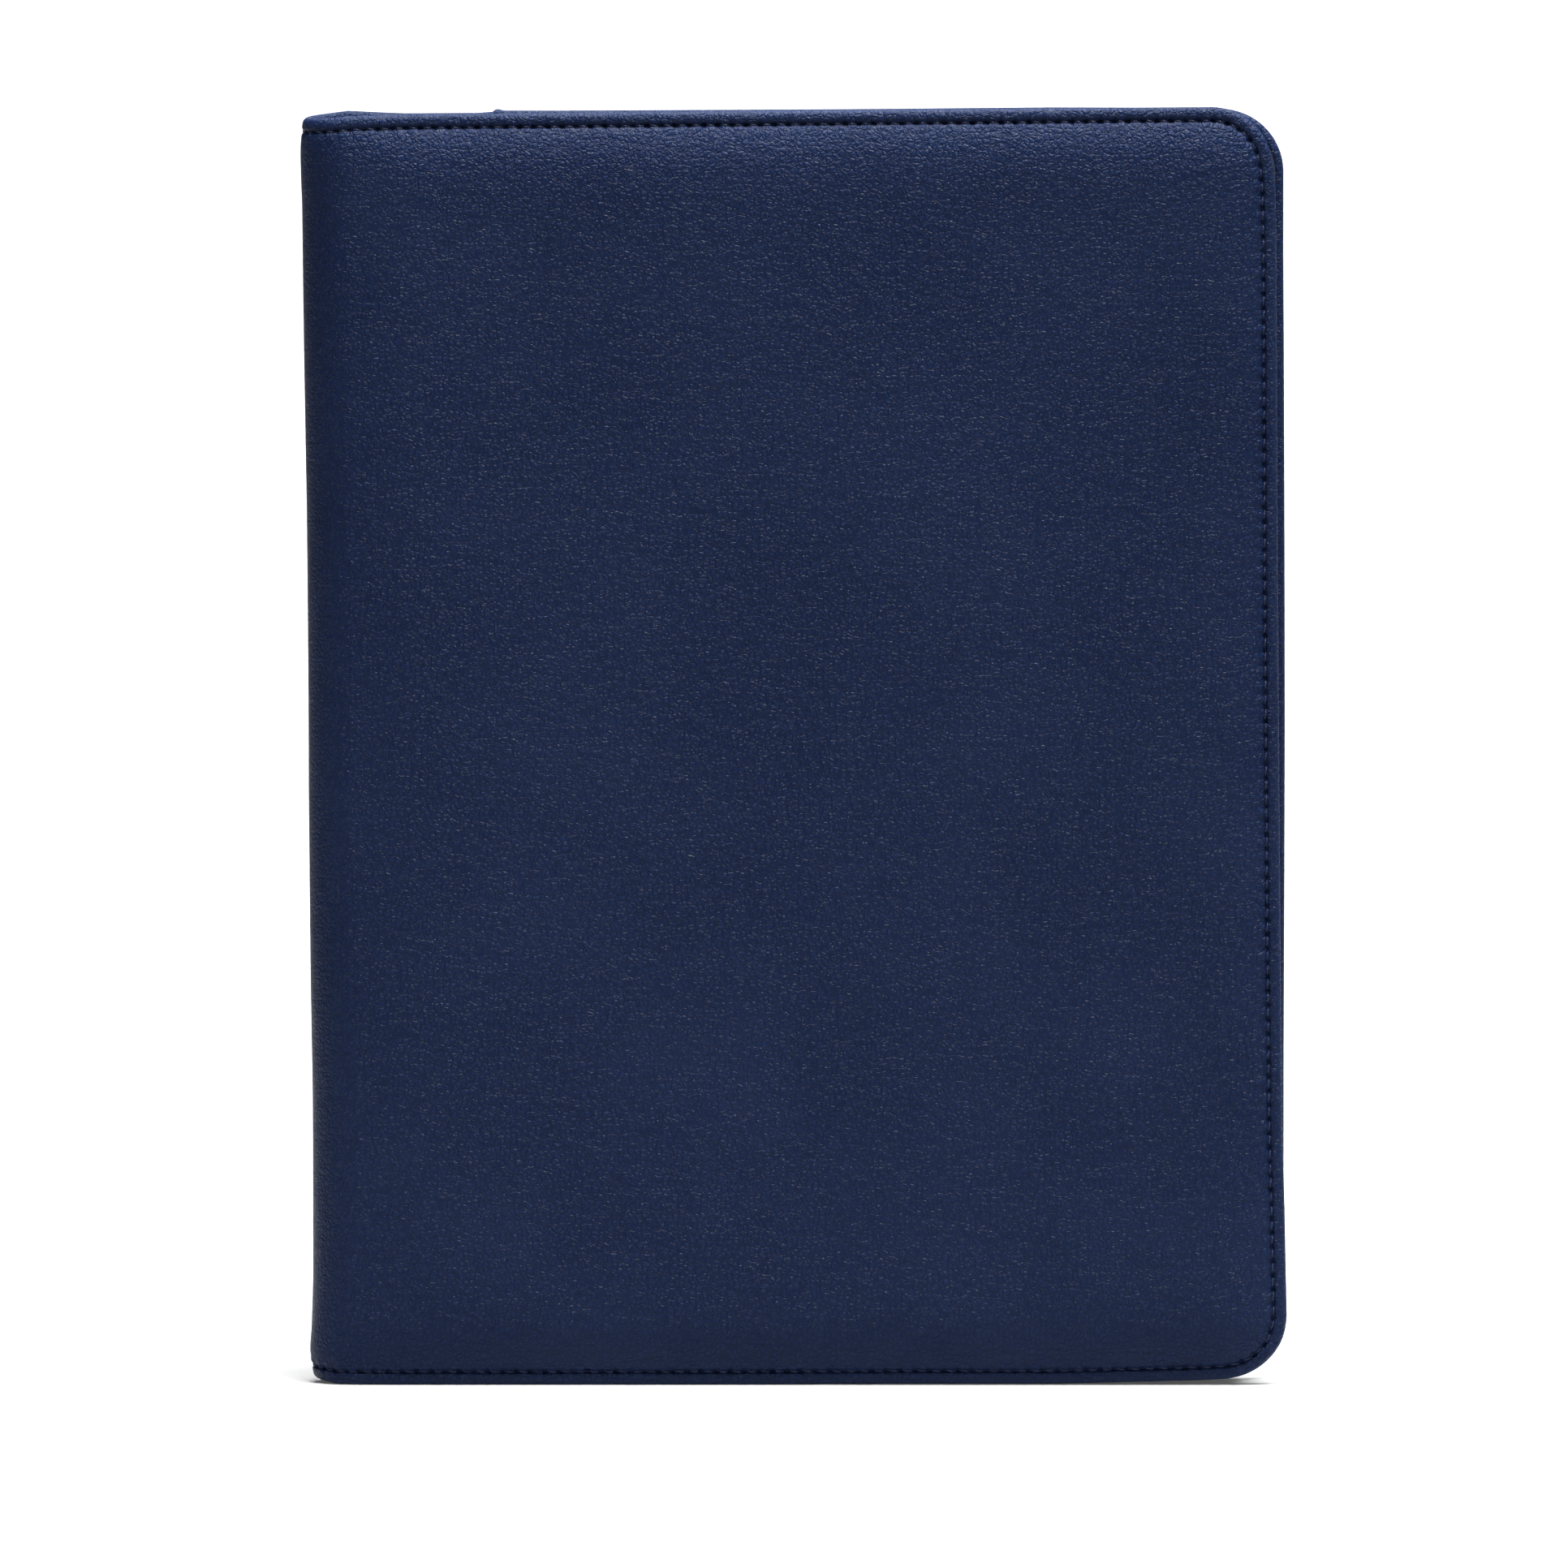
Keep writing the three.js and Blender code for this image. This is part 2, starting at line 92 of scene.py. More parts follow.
# The leather's edge: a roll over the board, and one line of stitches
ROLL = 1.55
RIM = -0.6
ROLL_STEPS = 9
TURN_IN = 2.1
LEATHER = 1.1
STITCH_IN = 3.2
STITCH = 3.36
STITCH_SAMPLES = 8
CROWN = 2.4
CROWN_REACH = 6.6
SPINE_CROWN = 0.35
PUCKER = 0.55
PUCKER_REACH = 1.4
BEAD = 0.26
BEAD_IN = 2.0
GROOVE = 0.3
HOLE = 0.5

# Insets of the rings of points along a turned edge, by how many samples apart the points are
RINGS = {
    1: [ROLL, 2.2, 2.6, 2.9, STITCH_IN, 3.5, 3.9, 4.5],
    2: [5.4, 6.6],
    4: [8.2, 10.2, 12.6],
}
GRID_IN = 14.6

# Steps of the grids on a skin's faces: round the spine, on the flat, and how many rows
OUTER_FINE, OUTER_COARSE, OUTER_ROWS = 0.8, 3.0, 91
INNER_FINE, INNER_COARSE, INNER_ROWS = 2.0, 12.0, 24

# The thread between two needle holes
THREAD_RADIUS = 0.24
THREAD_GAP = 0.3
THREAD_SLANT = 0.42
THREAD_SUNK = 0.78
THREAD_RISE = 0.74
THREAD_SIDES = 6
THREAD_STEPS = 7

# Camera window in the rear panel
CAMERA_X = 88.0
CAMERA_Z = 268.0
CAMERA_HALF = 20.3
CAMERA_RADIUS = 9.3
WINDOW = (CAMERA_X, CAMERA_Z, CAMERA_HALF, CAMERA_HALF, CAMERA_RADIUS, CAMERA_RADIUS)
WINDOW_STEP = 0.6

# How a used case sits. The leather moves to +X by the _SHIFT tables of (height, shift), and
# up by the _TOP and _BOTTOM tables of (x, rise).
SPINE_SHIFT = [
    (0, 0.9), (4, 0.7), (7, 0.6), (12, 1.1), (23, 1.5), (58, 1.6), (70, 1.55), (93, 1.15),
    (116, 0.85), (139, 0.55), (162, 0.45), (185, 0.35), (208, 0.25), (231, -0.05), (254, -0.4),
    (279, -0.75), (293, -1.4), (300, -1.5),
]
FREE_SHIFT = [(0, 1.2), (8, 1.1), (12, 0.85), (24, 0.55), (39, 0.25), (60, -0.35), (91, -0.7),
              (125, -1.0), (187, -1.5), (268, -1.9), (281, -2.15), (287, -2.75), (300, -2.5)]
FRONT_TOP = [(-116, -0.7), (-108, -0.1), (-104.5, 0.3), (-88, 0.8), (85, 2.4), (116, 2.6)]
FRONT_BOTTOM = [(-116, 1.1), (-112.3, 0.6), (-109.5, 0.1), (-103.7, 0), (-15, 0), (23, 0.18),
                (61, 0.2), (84, 0.75), (96, 1.1), (104, 1.6), (116, 2.1)]
REAR_TOP = [(-116, -0.65), (-113, -0.15), (-108, 0.4), (-104.7, 0.85), (-98, 0.5), (-92, 0.25),
            (-75, 0.35), (FOLD_X - 0.1, 0.65), (FOLD_X + 0.1, 1.15), (-70.3, 1.3), (-69, 0.9),
            (-55, 0.9), (-12, 1.1), (15, 1.25), (60, 1.65), (84, 1.6), (104, 1.3), (116, 1.3)]
REAR_BOTTOM = [(-116, 1.1), (-112.3, 0.6), (-109.5, 0.1), (-103.7, 0), (60, 0.1), (84, 0.5),
               (96, 1.0), (104, 1.4), (116, 1.8)]
REAR_SHIFT = [(0, 0.25), (77, 0.25), (116, 0.38), (154, 0.46), (193, 0.36), (231, 0.2), (266, 0)]

# Where on the girth REAR_SHIFT takes over, and over how far the other shifts fade towards it
REAR_START = -45
LEAN_FADE = 41

# Slow waves of the padding: two slopes and a phase each
waves = random.Random(20)
WAVES = [(waves.uniform(0.012, 0.05), waves.uniform(0.012, 0.05), waves.uniform(0, 6.28))
         for _ in range(7)]


def table(pairs, at):
    where, value = zip(*pairs)
    return np.interp(at, where, value)


def smooth(value):
    value = np.clip(value, 0, 1)
    return value * value * (3 - 2 * value)


def bell(value, middle, width):
    return np.exp(-((value - middle) / width) ** 2)


def rounded_distance(x, z, centre_x, centre_z, half_x, half_z, high_radius, low_radius):
    """Distance outside a rectangle with rounded corners, negative inside it."""
    radius = np.where(x >= centre_x, high_radius, low_radius)
    dx = np.abs(x - centre_x) - (half_x - radius)
    dz = np.abs(z - centre_z) - (half_z - radius)
    outside = np.hypot(np.maximum(dx, 0), np.maximum(dz, 0))
    return outside + np.minimum(np.maximum(dx, dz), 0) - radius


def camera_distance(x, z):
    return rounded_distance(x, z, *WINDOW)


def place(g, z, proud):
    """Points of the case in metres, proud millimetres outside the closed case's plain faces."""
    g, z, proud = np.broadcast_arrays(*(np.asarray(v, float) for v in (g, z, proud)))
    along = np.abs(g)
    angle = np.minimum(along, QUARTER) / FACE
    x = HINGE_X - (FACE + proud) * np.cos(angle) + np.maximum(along - QUARTER, 0)
    y = -np.where(g >= 0, 1.0, -1.0) * (FACE + proud) * np.sin(angle)
    share = np.clip((x - HINGE_X) / (FREE_X - HINGE_X), 0, 1)
    lean = table(SPINE_SHIFT, z) * (1 - share) + table(FREE_SHIFT, z) * share
    lean = lean * smooth((g - REAR_START) / LEAN_FADE)
    lean = lean + np.where(g < REAR_START, table(REAR_SHIFT, z) * share, 0)
    up = np.clip(z / HEIGHT, 0, 1)
    front = table(FRONT_TOP, x) * up + table(FRONT_BOTTOM, x) * (1 - up)
    rear = table(REAR_TOP, x) * up + table(REAR_BOTTOM, x) * (1 - up)
    rear = rear * smooth(camera_distance(x, z) / 10)
    rise = np.where(g >= 0, front, rear)
    return np.stack([x + lean, y, z + rise], -1) * 0.001


def flat_x(g):
    """X on a cover's flat part for a place on the girth."""
    return HINGE_X + np.abs(g) - QUARTER


def girth(x, side):
    return side * (QUARTER + x - HINGE_X)


def bend_sink(g):
    """How far the rear leather sinks along the fold and along the rear hinge."""
    rear_side = g < 0
    fold = bell(flat_x(g), FOLD_X, 1.4) * rear_side
    hinge = bell(np.abs(g), QUARTER, 1.6) * rear_side
    return 0.55 * fold + 0.3 * hinge


def triangulate(points, keep=None):
    """Delaunay triangles over 2-D points, without those whose middle keep() refuses."""
    corners, _, faces, origin, _, _ = delaunay_2d_cdt([Vector(p) for p in points], [], [], 0, 1e-6)
    index = [o[0] for o in origin]
    triangles = np.array([[index[i] for i in face] for face in faces])
    if keep is not None:
        middle = np.asarray(points)[triangles].mean(1)
        triangles = triangles[keep(middle[:, 0], middle[:, 1])]
    return triangles.tolist()


class Points:
    """The points of a mesh in named columns, added a ring or a grid at a time."""

    def __init__(self, *keys):
        self.columns = {key: [] for key in keys}
        self.count = 0

    def add(self, *values):
        """Add points, and give their numbers."""
        values = np.broadcast_arrays(*(np.asarray(v, float) for v in values))
        for column, value in zip(self.columns.values(), values):
            column.append(value)
        first = self.count
        self.count += len(values[0])
        return np.arange(first, self.count)

    def column(self, key):
        return np.concatenate(self.columns[key])


def bands(rings):
    """The faces between each closed ring of points and the next."""
    faces = []
    for low, high in zip(rings, rings[1:]):
        faces += np.stack([low, np.roll(low, -1), np.roll(high, -1), high], -1).tolist()
    return faces


def add_mesh(name, points, faces, attributes=None, flat_faces=0, shade_angle=None):
    """A mesh object from points in metres. The last flat_faces faces are shaded flat."""
    mesh = bpy.data.meshes.new(name)
    mesh.from_pydata([tuple(p) for p in points], [], faces)
    smoothing = np.ones(len(mesh.polygons), bool)
    if flat_faces:
        smoothing[-flat_faces:] = False
    mesh.polygons.foreach_set("use_smooth", smoothing)
    for key, values in (attributes or {}).items():
        values = np.asarray(values, np.float32)
        kind = "FLOAT" if values.ndim == 1 else "FLOAT_VECTOR"
        layer = mesh.attributes.new(key, kind, "POINT")
        layer.data.foreach_set("value" if values.ndim == 1 else "vector", values.ravel())
    work = bmesh.new()
    work.from_mesh(mesh)
    bmesh.ops.recalc_face_normals(work, faces=work.faces[:])
    if shade_angle is not None:
        for edge in work.edges:
            if len(edge.link_faces) == 2 and edge.calc_face_angle(0) > shade_angle:
                edge.smooth = False
    work.to_mesh(mesh)
    work.free()
    obj = bpy.data.objects.new(name, mesh)
    bpy.context.scene.collection.objects.link(obj)
    return obj


# -------------------- leather skins

class Edge:
    """A turned edge of a skin, sampled evenly along its stitches.

    a runs along the girth from the skin's first end. Each sample has a place on the outline,
    the direction in from it, and t, the distance along the stitch line.
    """

    def __init__(self, length, kind):
        if kind == "round":
            straight = length - CORNER
            arc = (CORNER - STITCH_IN) * math.pi / 2
            upright = HEIGHT - 2 * CORNER
            total = 2 * straight + 2 * arc + upright
        else:
            total = length
        self.count = max(round(total / STITCH), 1)
        self.pitch = total / self.count
        self.t = np.arange(self.count * STITCH_SAMPLES + 1) * self.pitch / STITCH_SAMPLES
        ones = np.ones_like(self.t)
        if kind != "round":
            self.a = self.t.copy()
            self.z = ones * (HEIGHT if kind == "top" else 0)
            self.inward = np.stack([0 * ones, ones * (-1 if kind == "top" else 1)], -1)
            return
        marks = np.cumsum([0, straight, arc, upright, arc, straight])
        self.a = np.empty_like(self.t)
        self.z = np.empty_like(self.t)
        self.inward = np.empty((len(self.t), 2))
        for i, t in enumerate(self.t):
            part = min(int(np.searchsorted(marks, t + 1e-9, side="right")) - 1, 4)
            gone = t - marks[part]
            if part in (1, 3):
                turn = gone / (CORNER - STITCH_IN)
                angle = math.pi / 2 - turn if part == 1 else -turn
                middle = (straight, HEIGHT - CORNER if part == 1 else CORNER)
                ray = (math.cos(angle), math.sin(angle))
                self.a[i] = middle[0] + CORNER * ray[0]
                self.z[i] = middle[1] + CORNER * ray[1]
                self.inward[i] = (-ray[0], -ray[1])
            elif part == 0:
                self.a[i], self.z[i], self.inward[i] = gone, HEIGHT, (0, -1)
            elif part == 2:
                self.a[i], self.z[i], self.inward[i] = length, HEIGHT - CORNER - gone, (-1, 0)
            else:
                self.a[i], self.z[i], self.inward[i] = straight - gone, 0, (0, 1)
        self.a[-1] = 0

    def at(self, inset, step=1):
        """Every step-th sample, moved in by inset: a, z and t."""
        chosen = np.arange(0, len(self.t), step)
        return (self.a[chosen] + inset * self.inward[chosen, 0],
                self.z[chosen] + inset * self.inward[chosen, 1], self.t[chosen])


class Skin:
    """One leather skin of the case, a closed shell from its seam with the next skin."""

    def __init__(self, name, start, side, length, round_end, window=False, seed=1):
        self.name, self.start, self.side, self.length = name, start, side, length
        self.window = window
        kinds = ["round"] if round_end else ["top", "bottom"]
        self.edges = [Edge(length, kind) for kind in kinds]
        self.round_end = round_end
        source = random.Random(seed)
        for edge in self.edges:
            inner = edge.count - 1
            edge.depth = np.array([1.0] + [source.uniform(0.6, 1.3) for _ in range(inner)] + [1.0])
            edge.swell = np.array([1.0] + [source.uniform(0.4, 1.5) for _ in range(inner)] + [1.0])

    def g(self, a):
        return self.start + self.side * a

    def inset(self, a, z):
        """Distance in from the turned edges."""
        near = np.minimum(z, HEIGHT - z)
        if not self.round_end:
            return near
        near = np.minimum(near, self.length - a)
        corner = np.minimum(HEIGHT / 2 - np.abs(z - HEIGHT / 2), CORNER)
        past = np.maximum(a - (self.length - CORNER), 0)
        return np.where((past > 0) & (corner < CORNER),
                        CORNER - np.hypot(past, CORNER - corner), near)

    def relief(self, a, z, inset, t=None, edge=None):
        """How far the outer surface stands proud, and how much painted shade darkens the stitch
        groove and each needle hole.
        """
        g = self.g(a)
        proud = RIM + BEAD * bell(inset, BEAD_IN, 0.7)
        padding = SPINE_CROWN + (CROWN - SPINE_CROWN) * smooth((np.abs(g) - 8) / 24)
        beyond = np.maximum(inset - STITCH_IN, 0)
        proud = proud + padding * np.tanh(beyond / CROWN_REACH)
        proud = proud + PUCKER * (1 - np.exp(-beyond / PUCKER_REACH))
        swell = sum(np.sin(g * p + z * q + r) for p, q, r in WAVES)
        proud = proud + 0.045 * swell * smooth((inset - 3) / 12)
        groove = bell(inset, STITCH_IN, 0.38)
        proud = proud - GROOVE * groove
        # painted shade: the leather's colour darkens along the stitch groove
        hollow = 0.2 * groove
        if t is not None:
            proud, hollow = self.pull_stitches(proud, hollow, inset, t, edge)
        proud = proud - bend_sink(g)
        if self.window:
            reach = np.exp(-np.maximum(camera_distance(flat_x(g), z), 0) / 3)
            proud = proud * (1 - reach) - 0.12 * reach
        return proud, hollow

    def pull_stitches(self, proud, hollow, inset, t, edge):
        """Sink the leather at each needle hole, and swell it between two holes. Painted shade
        darkens each hole.
        """
        turn = t / edge.pitch
        number = np.clip(np.round(turn - 0.5), 0, edge.count - 1).astype(int)
        off = (turn - 0.5 - number) * edge.pitch
        hole = np.exp(-(off / 0.55) ** 4) * edge.depth[number]
        proud = proud - HOLE * hole * bell(inset, STITCH_IN, 0.4)
        # painted shade: the colour darkens in each needle hole
        hollow = hollow + 0.75 * hole * bell(inset, STITCH_IN, 0.55)
        nearest = np.clip(np.round(turn), 0, edge.count).astype(int)
        bulge = np.cos(np.pi * turn) ** 2 * edge.swell[nearest]
        proud = proud + 0.2 * bulge * bell(inset, 4.1, 0.8)
        proud = proud + 0.05 * bulge * bell(inset, 2.5, 0.4)
        inner_side = np.exp(-np.maximum(inset - 3.6, 0) / 1.8) * (inset > 3.4)
        proud = proud - 0.05 * (1 - bulge) * inner_side
        return proud, hollow

    def build(self):
        """The leather as one closed mesh, with its place on the unrolled case as an attribute."""
        points = Points("a", "z", "proud", "hollow", "rub")

        # the outer face: rings along the turned edges, then a grid
        first_rings = []
        for edge in self.edges:
            for step, insets in RINGS.items():
                for inset in insets:
                    a, z, t = edge.at(inset, step)
                    proud, hollow = self.relief(a, z, inset, t, edge)
                    ring = points.add(a, z, proud, hollow, 0)
                    if inset == ROLL:
                        first_rings.append((edge, ring, proud))
        grid_a = self.grid_steps(OUTER_FINE, OUTER_COARSE, GRID_IN)
        grid_z = np.linspace(GRID_IN, HEIGHT - GRID_IN, OUTER_ROWS)
        a, z = (v.ravel() for v in np.meshgrid(grid_a, grid_z))
        if self.window:
            clear = camera_distance(flat_x(self.g(a)), z) > 1.6
            a, z = a[clear], z[clear]
        points.add(a, z, *self.relief(a, z, self.inset(a, z)), 0)
        window_rings = []
        if self.window:
            for grow in (0.5, 1.2):
                wx, wz = loop(WINDOW, WINDOW_STEP, grow)
                wa = self.girth_to_a(wx)
                relief = self.relief(wa, wz, self.inset(wa, wz))
                window_rings.append(points.add(wa, wz, *relief, 0))
        flat = np.stack([points.column("a"), points.column("z")], -1)
        faces = triangulate(flat, self.clear_of_window(0.45))
        outer_count = points.count

        # the roll over the board's edge, and the strip turned in behind it
        edge_profiles = []
        for edge, ring, proud in first_rings:
            profile = [ring]
            for step in range(1, ROLL_STEPS + 1):
                angle = math.pi / 2 - math.pi * step / ROLL_STEPS
                inset = ROLL * (1 - math.cos(angle))
                a, z, _ = edge.at(inset)
                height = proud - ROLL + ROLL * math.sin(angle)
                worn = max(math.cos(angle), 0) ** 2
                profile.append(points.add(a, z, height, 0, worn))
            a, z, _ = edge.at(TURN_IN)
            profile.append(points.add(a, z, proud - 2 * ROLL, 0, 0))
            profile.append(points.add(a, z, -LEATHER, 0, 0))
            for low, high in zip(profile, profile[1:]):
                faces += np.stack([low[:-1], low[1:], high[1:], high[:-1]], -1).tolist()
            edge_profiles.append(profile)

        # the inner face, with the wall of the window
        coarse_a = self.grid_steps(INNER_FINE, INNER_COARSE, TURN_IN + 4)
        coarse_z = np.linspace(TURN_IN + 4, HEIGHT - TURN_IN - 4, INNER_ROWS)
        a, z = (v.ravel() for v in np.meshgrid(coarse_a, coarse_z))
        if self.window:
            clear = camera_distance(flat_x(self.g(a)), z) > 2
            a, z = a[clear], z[clear]
        inner = points.add(a, z, -LEATHER, 0, 0)
        inner_ids = [profile[-1] for profile in edge_profiles] + [inner]
        if self.window:
            wall = [window_rings[0]]
            top = points.column("proud")[wall[0]]
            for grow, drop in ((0.15, 0.12), (0, 0.4)):
                wx, wz = loop(WINDOW, WINDOW_STEP, grow)
                wall.append(points.add(self.girth_to_a(wx), wz, top - drop, 0, 0.5))
            wall.append(points.add(self.girth_to_a(wx), wz, -LEATHER, 0, 0))
            faces += bands(wall)
            inner_ids.append(wall[-1])
        inner_ids = np.concatenate(inner_ids)
        a_all, z_all = points.column("a"), points.column("z")
        flat = np.stack([a_all[inner_ids], z_all[inner_ids]], -1)
        for face in triangulate(flat, self.clear_of_window(-0.05)):
            faces.append([int(inner_ids[i]) for i in face])

        # the cut ends, where one skin meets the next
        ends = [0.0] if self.round_end else [0.0, self.length]
        for end in ends:
            at_end = np.abs(a_all - end) < 1e-6
            outer = np.flatnonzero(at_end[:outer_count])
            outer = outer[np.argsort(z_all[outer])]
            inner_line = inner[at_end[inner]]
            inner_line = inner_line[np.argsort(-z_all[inner_line])]
            top = edge_profiles[0]
            bottom = edge_profiles[-1]
            at_top = 0 if end == 0 else -1
            at_bottom = -1 if self.round_end or end > 0 else 0
            rim_top = [int(ring[at_top]) for ring in top[1:]]
            rim_bottom = [int(ring[at_bottom]) for ring in reversed(bottom[1:])]
            faces.append(outer.tolist() + rim_top + inner_line.tolist() + rim_bottom)

        g = self.g(a_all)
        spots = place(g, z_all, points.column("proud"))
        attributes = {
            "unrolled": np.stack([g, z_all, 0 * g], -1),
            # painted shade along the stitch line
            "hollow": points.column("hollow"),
            "rub": points.column("rub"),
        }
        return add_mesh(self.name, spots, faces, attributes, len(ends))

    def girth_to_a(self, x):
        return (girth(x, self.side) - self.start) * self.side

    def clear_of_window(self, gap):
        """A filter for triangulate() that leaves the camera window open, or None."""
        if not self.window:
            return None

        def keep(a, z):
            return camera_distance(flat_x(self.g(a)), z) > gap

        return keep

    def grid_steps(self, fine, coarse, inset):
        """Steps along a: fine round the spine and over the hinge, coarse on the flat."""
        stop = self.length - inset if self.round_end else self.length
        bend = (QUARTER + 7 - self.side * self.start) if self.start == SPINE_SEAM else 0
        bend = min(max(bend, 0), stop)
        steps = list(np.linspace(0, bend, max(int(bend / fine), 1) + 1)) if bend else [0.0]
        rest = stop - steps[-1]
        spans = int(rest / coarse) + 1
        steps += list(steps[-1] + rest * np.arange(1, spans + 1) / spans)
        if self.side == REAR:
            fold_at = self.girth_to_a(FOLD_X)
            near = [fold_at + step for step in (-4.2, -2.8, -1.9, -1.2, -0.6, 0.6, 1.2, 1.9, 2.8)]
            steps += [step for step in near if 0 < step < stop]
        return np.unique(np.round(steps, 6))

    def threads(self):
        """The stitches: each thread rises from one hole and dives into the next."""
        points, faces = [], []
        sides, steps = THREAD_SIDES, THREAD_STEPS
        over = 1 if self.round_end else 0
        for edge in self.edges:
            for number in range(-over, edge.count - 1 + over):
                from_t = (number + 0.5) * edge.pitch + THREAD_GAP
                to_t = (number + 1.5) * edge.pitch - THREAD_GAP
                u = np.linspace(0, 1, steps)
                t = from_t + (to_t - from_t) * u
                a0 = np.interp(t, edge.t, edge.a)
                a0 = a0 + np.minimum(t, 0) - np.maximum(t - edge.t[-1], 0)
                z0 = np.interp(t, edge.t, edge.z)
                inward = np.stack([np.interp(t, edge.t, edge.inward[:, k]) for k in (0, 1)], -1)
                line = STITCH_IN + THREAD_SLANT * (u - 0.5)
                height = RIM - THREAD_SUNK + THREAD_RISE * (1 - (2 * u - 1) ** 2)
                radius = THREAD_RADIUS * (0.75 + 0.25 * np.sin(np.pi * u))
                base = len(points)
                for i in range(steps):
                    for k in range(sides):
                        turn = 2 * math.pi * k / sides
                        d = line[i] + radius[i] * math.cos(turn)
                        points.append((a0[i] + d * inward[i, 0], z0[i] + d * inward[i, 1],
                                       height[i] + radius[i] * math.sin(turn)))
                for i in range(steps - 1):
                    for k in range(sides):
                        j = (k + 1) % sides
                        row = base + i * sides
                        faces.append([row + k, row + j, row + sides + j, row + sides + k])
                faces.append([base + k for k in range(sides)])
                faces.append([base + (steps - 1) * sides + k for k in range(sides)])
        a, z, proud = np.array(points).T
        g = self.g(a)
        attributes = {"unrolled": np.stack([g, z, 0 * g], -1)}
        spots = place(g, z, proud - bend_sink(g))
        return add_mesh(self.name + "_stitches", spots, faces, attributes)


def loop(rim, step, grow=0.0):
    """Points round a rectangle with rounded corners, moved out by grow: (x, z)."""
    x, z, half_x, half_z, high_radius, low_radius = rim
    points = []
    for turn, (sx, sz) in enumerate(((1, 1), (-1, 1), (-1, -1), (1, -1))):
        radius = high_radius if sx > 0 else low_radius
        count = max(int(math.ceil(radius * math.pi / 2 / step)), 2)
        middle = (x + sx * (half_x - radius), z + sz * (half_z - radius))
        for k in range(count + 1):
            angle = (turn + k / count) * math.pi / 2
            ray = (math.cos(angle), math.sin(angle))
            points.append((middle[0] + radius * ray[0], middle[1] + radius * ray[1], *ray))
    filled = []
    for here, after in zip(points, points[1:] + points[:1]):
        count = max(int(round(math.dist(here[:2], after[:2]) / step)), 1)
        for k in range(count):
            filled.append([p + (q - p) * k / count for p, q in zip(here, after)])
    px, pz, out_x, out_z = np.array(filled).T
    return px + grow * out_x, pz + grow * out_z


# -------------------- plain layers and panels

def slab(name, outline, holes, profile, lift, crown, step):
    """A closed sheet with rounded edges.

    outline and holes are rims: x, z, half x, half z, and the corner radius at high and low X.
    profile lists (inset, height) from the lower face's edge round to the upper face's.
    lift(x, z, height) gives the points in metres, and crown(distance) how far the upper face
    rises at a distance in from its edge. step is the space between points along a rim.
    """
    points = Points("x", "z", "h")
    faces = []
    lower, upper = [], []
    for sign, rim in [(-1, outline)] + [(1, hole) for hole in holes]:
        rings = []
        for inset, height in profile:
            x, z = loop(rim, step, sign * inset)
            rings.append(points.add(x, z, height))
        faces += bands(rings)
        lower.append(rings[0])
        upper.append(rings[-1])
    x0, z0, half_x, half_z = outline[:4]
    for ids, crowned in ((lower, False), (upper, True)):
        ids = np.concatenate(ids)
        margin, height = profile[-1] if crowned else profile[0]
        spacing = 4.0 if crowned else 8.0
        across = np.arange(-half_x, half_x, spacing) + x0
        up = np.arange(-half_z, half_z, spacing) + z0
        x, z = (v.ravel() for v in np.meshgrid(across, up))
        distance = edge_distance(x, z, outline, holes)
        inside = distance > margin + 1.0
        fill = points.add(x[inside], z[inside], height)
        ids = np.concatenate([ids, fill])
        flat = np.stack([points.column("x")[ids], points.column("z")[ids]], -1)

        def keep(x, z, margin=margin):
            return edge_distance(x, z, outline, holes) > margin - 0.02

        faces += [[int(ids[i]) for i in face] for face in triangulate(flat, keep)]
    x, z, h = (points.column(key) for key in points.columns)
    distance = edge_distance(x, z, outline, holes)
    top = h >= profile[-1][1] - 1e-6
    h = h + np.where(top, crown(distance - profile[-1][0]), 0)
    attributes = {"unrolled": np.stack([x, z, h], -1)}
    return add_mesh(name, lift(x, z, h), faces, attributes, shade_angle=0.9)


def edge_distance(x, z, outline, holes):
    distance = -rounded_distance(x, z, *outline)
    for hole in holes:
        distance = np.minimum(distance, rounded_distance(x, z, *hole))
    return distance


def span_rim(x0, x1, z0, z1, radius, low_radius=None):
    """The rim of a span in X and Z. low_radius rounds its corners at low X."""
    low_radius = radius if low_radius is None else low_radius
    return ((x0 + x1) / 2, (z0 + z1) / 2, (x1 - x0) / 2, (z1 - z0) / 2, radius, low_radius)


def cover_layer(name, side, x0, x1, inset, depths, radius=0.3, holes=(), depth_at=None):
    """A foam, board or lining sheet of a cover, between two depths under the cover's face."""
    outer, inner = depths
    rim = span_rim(x0, x1, inset, HEIGHT - inset, radius, 0.3)
    soft = min(0.12, (inner - outer) / 3)
    profile = [(0, inner), (0, outer + soft), (soft, outer)]

    def lift(x, z, h):
        extra = 0 if depth_at is None else depth_at(x)
        return place(girth(x, side), z, -(h + extra))

    return slab(name, rim, list(holes), profile, lift, np.zeros_like, 1.5)


# -------------------- materials

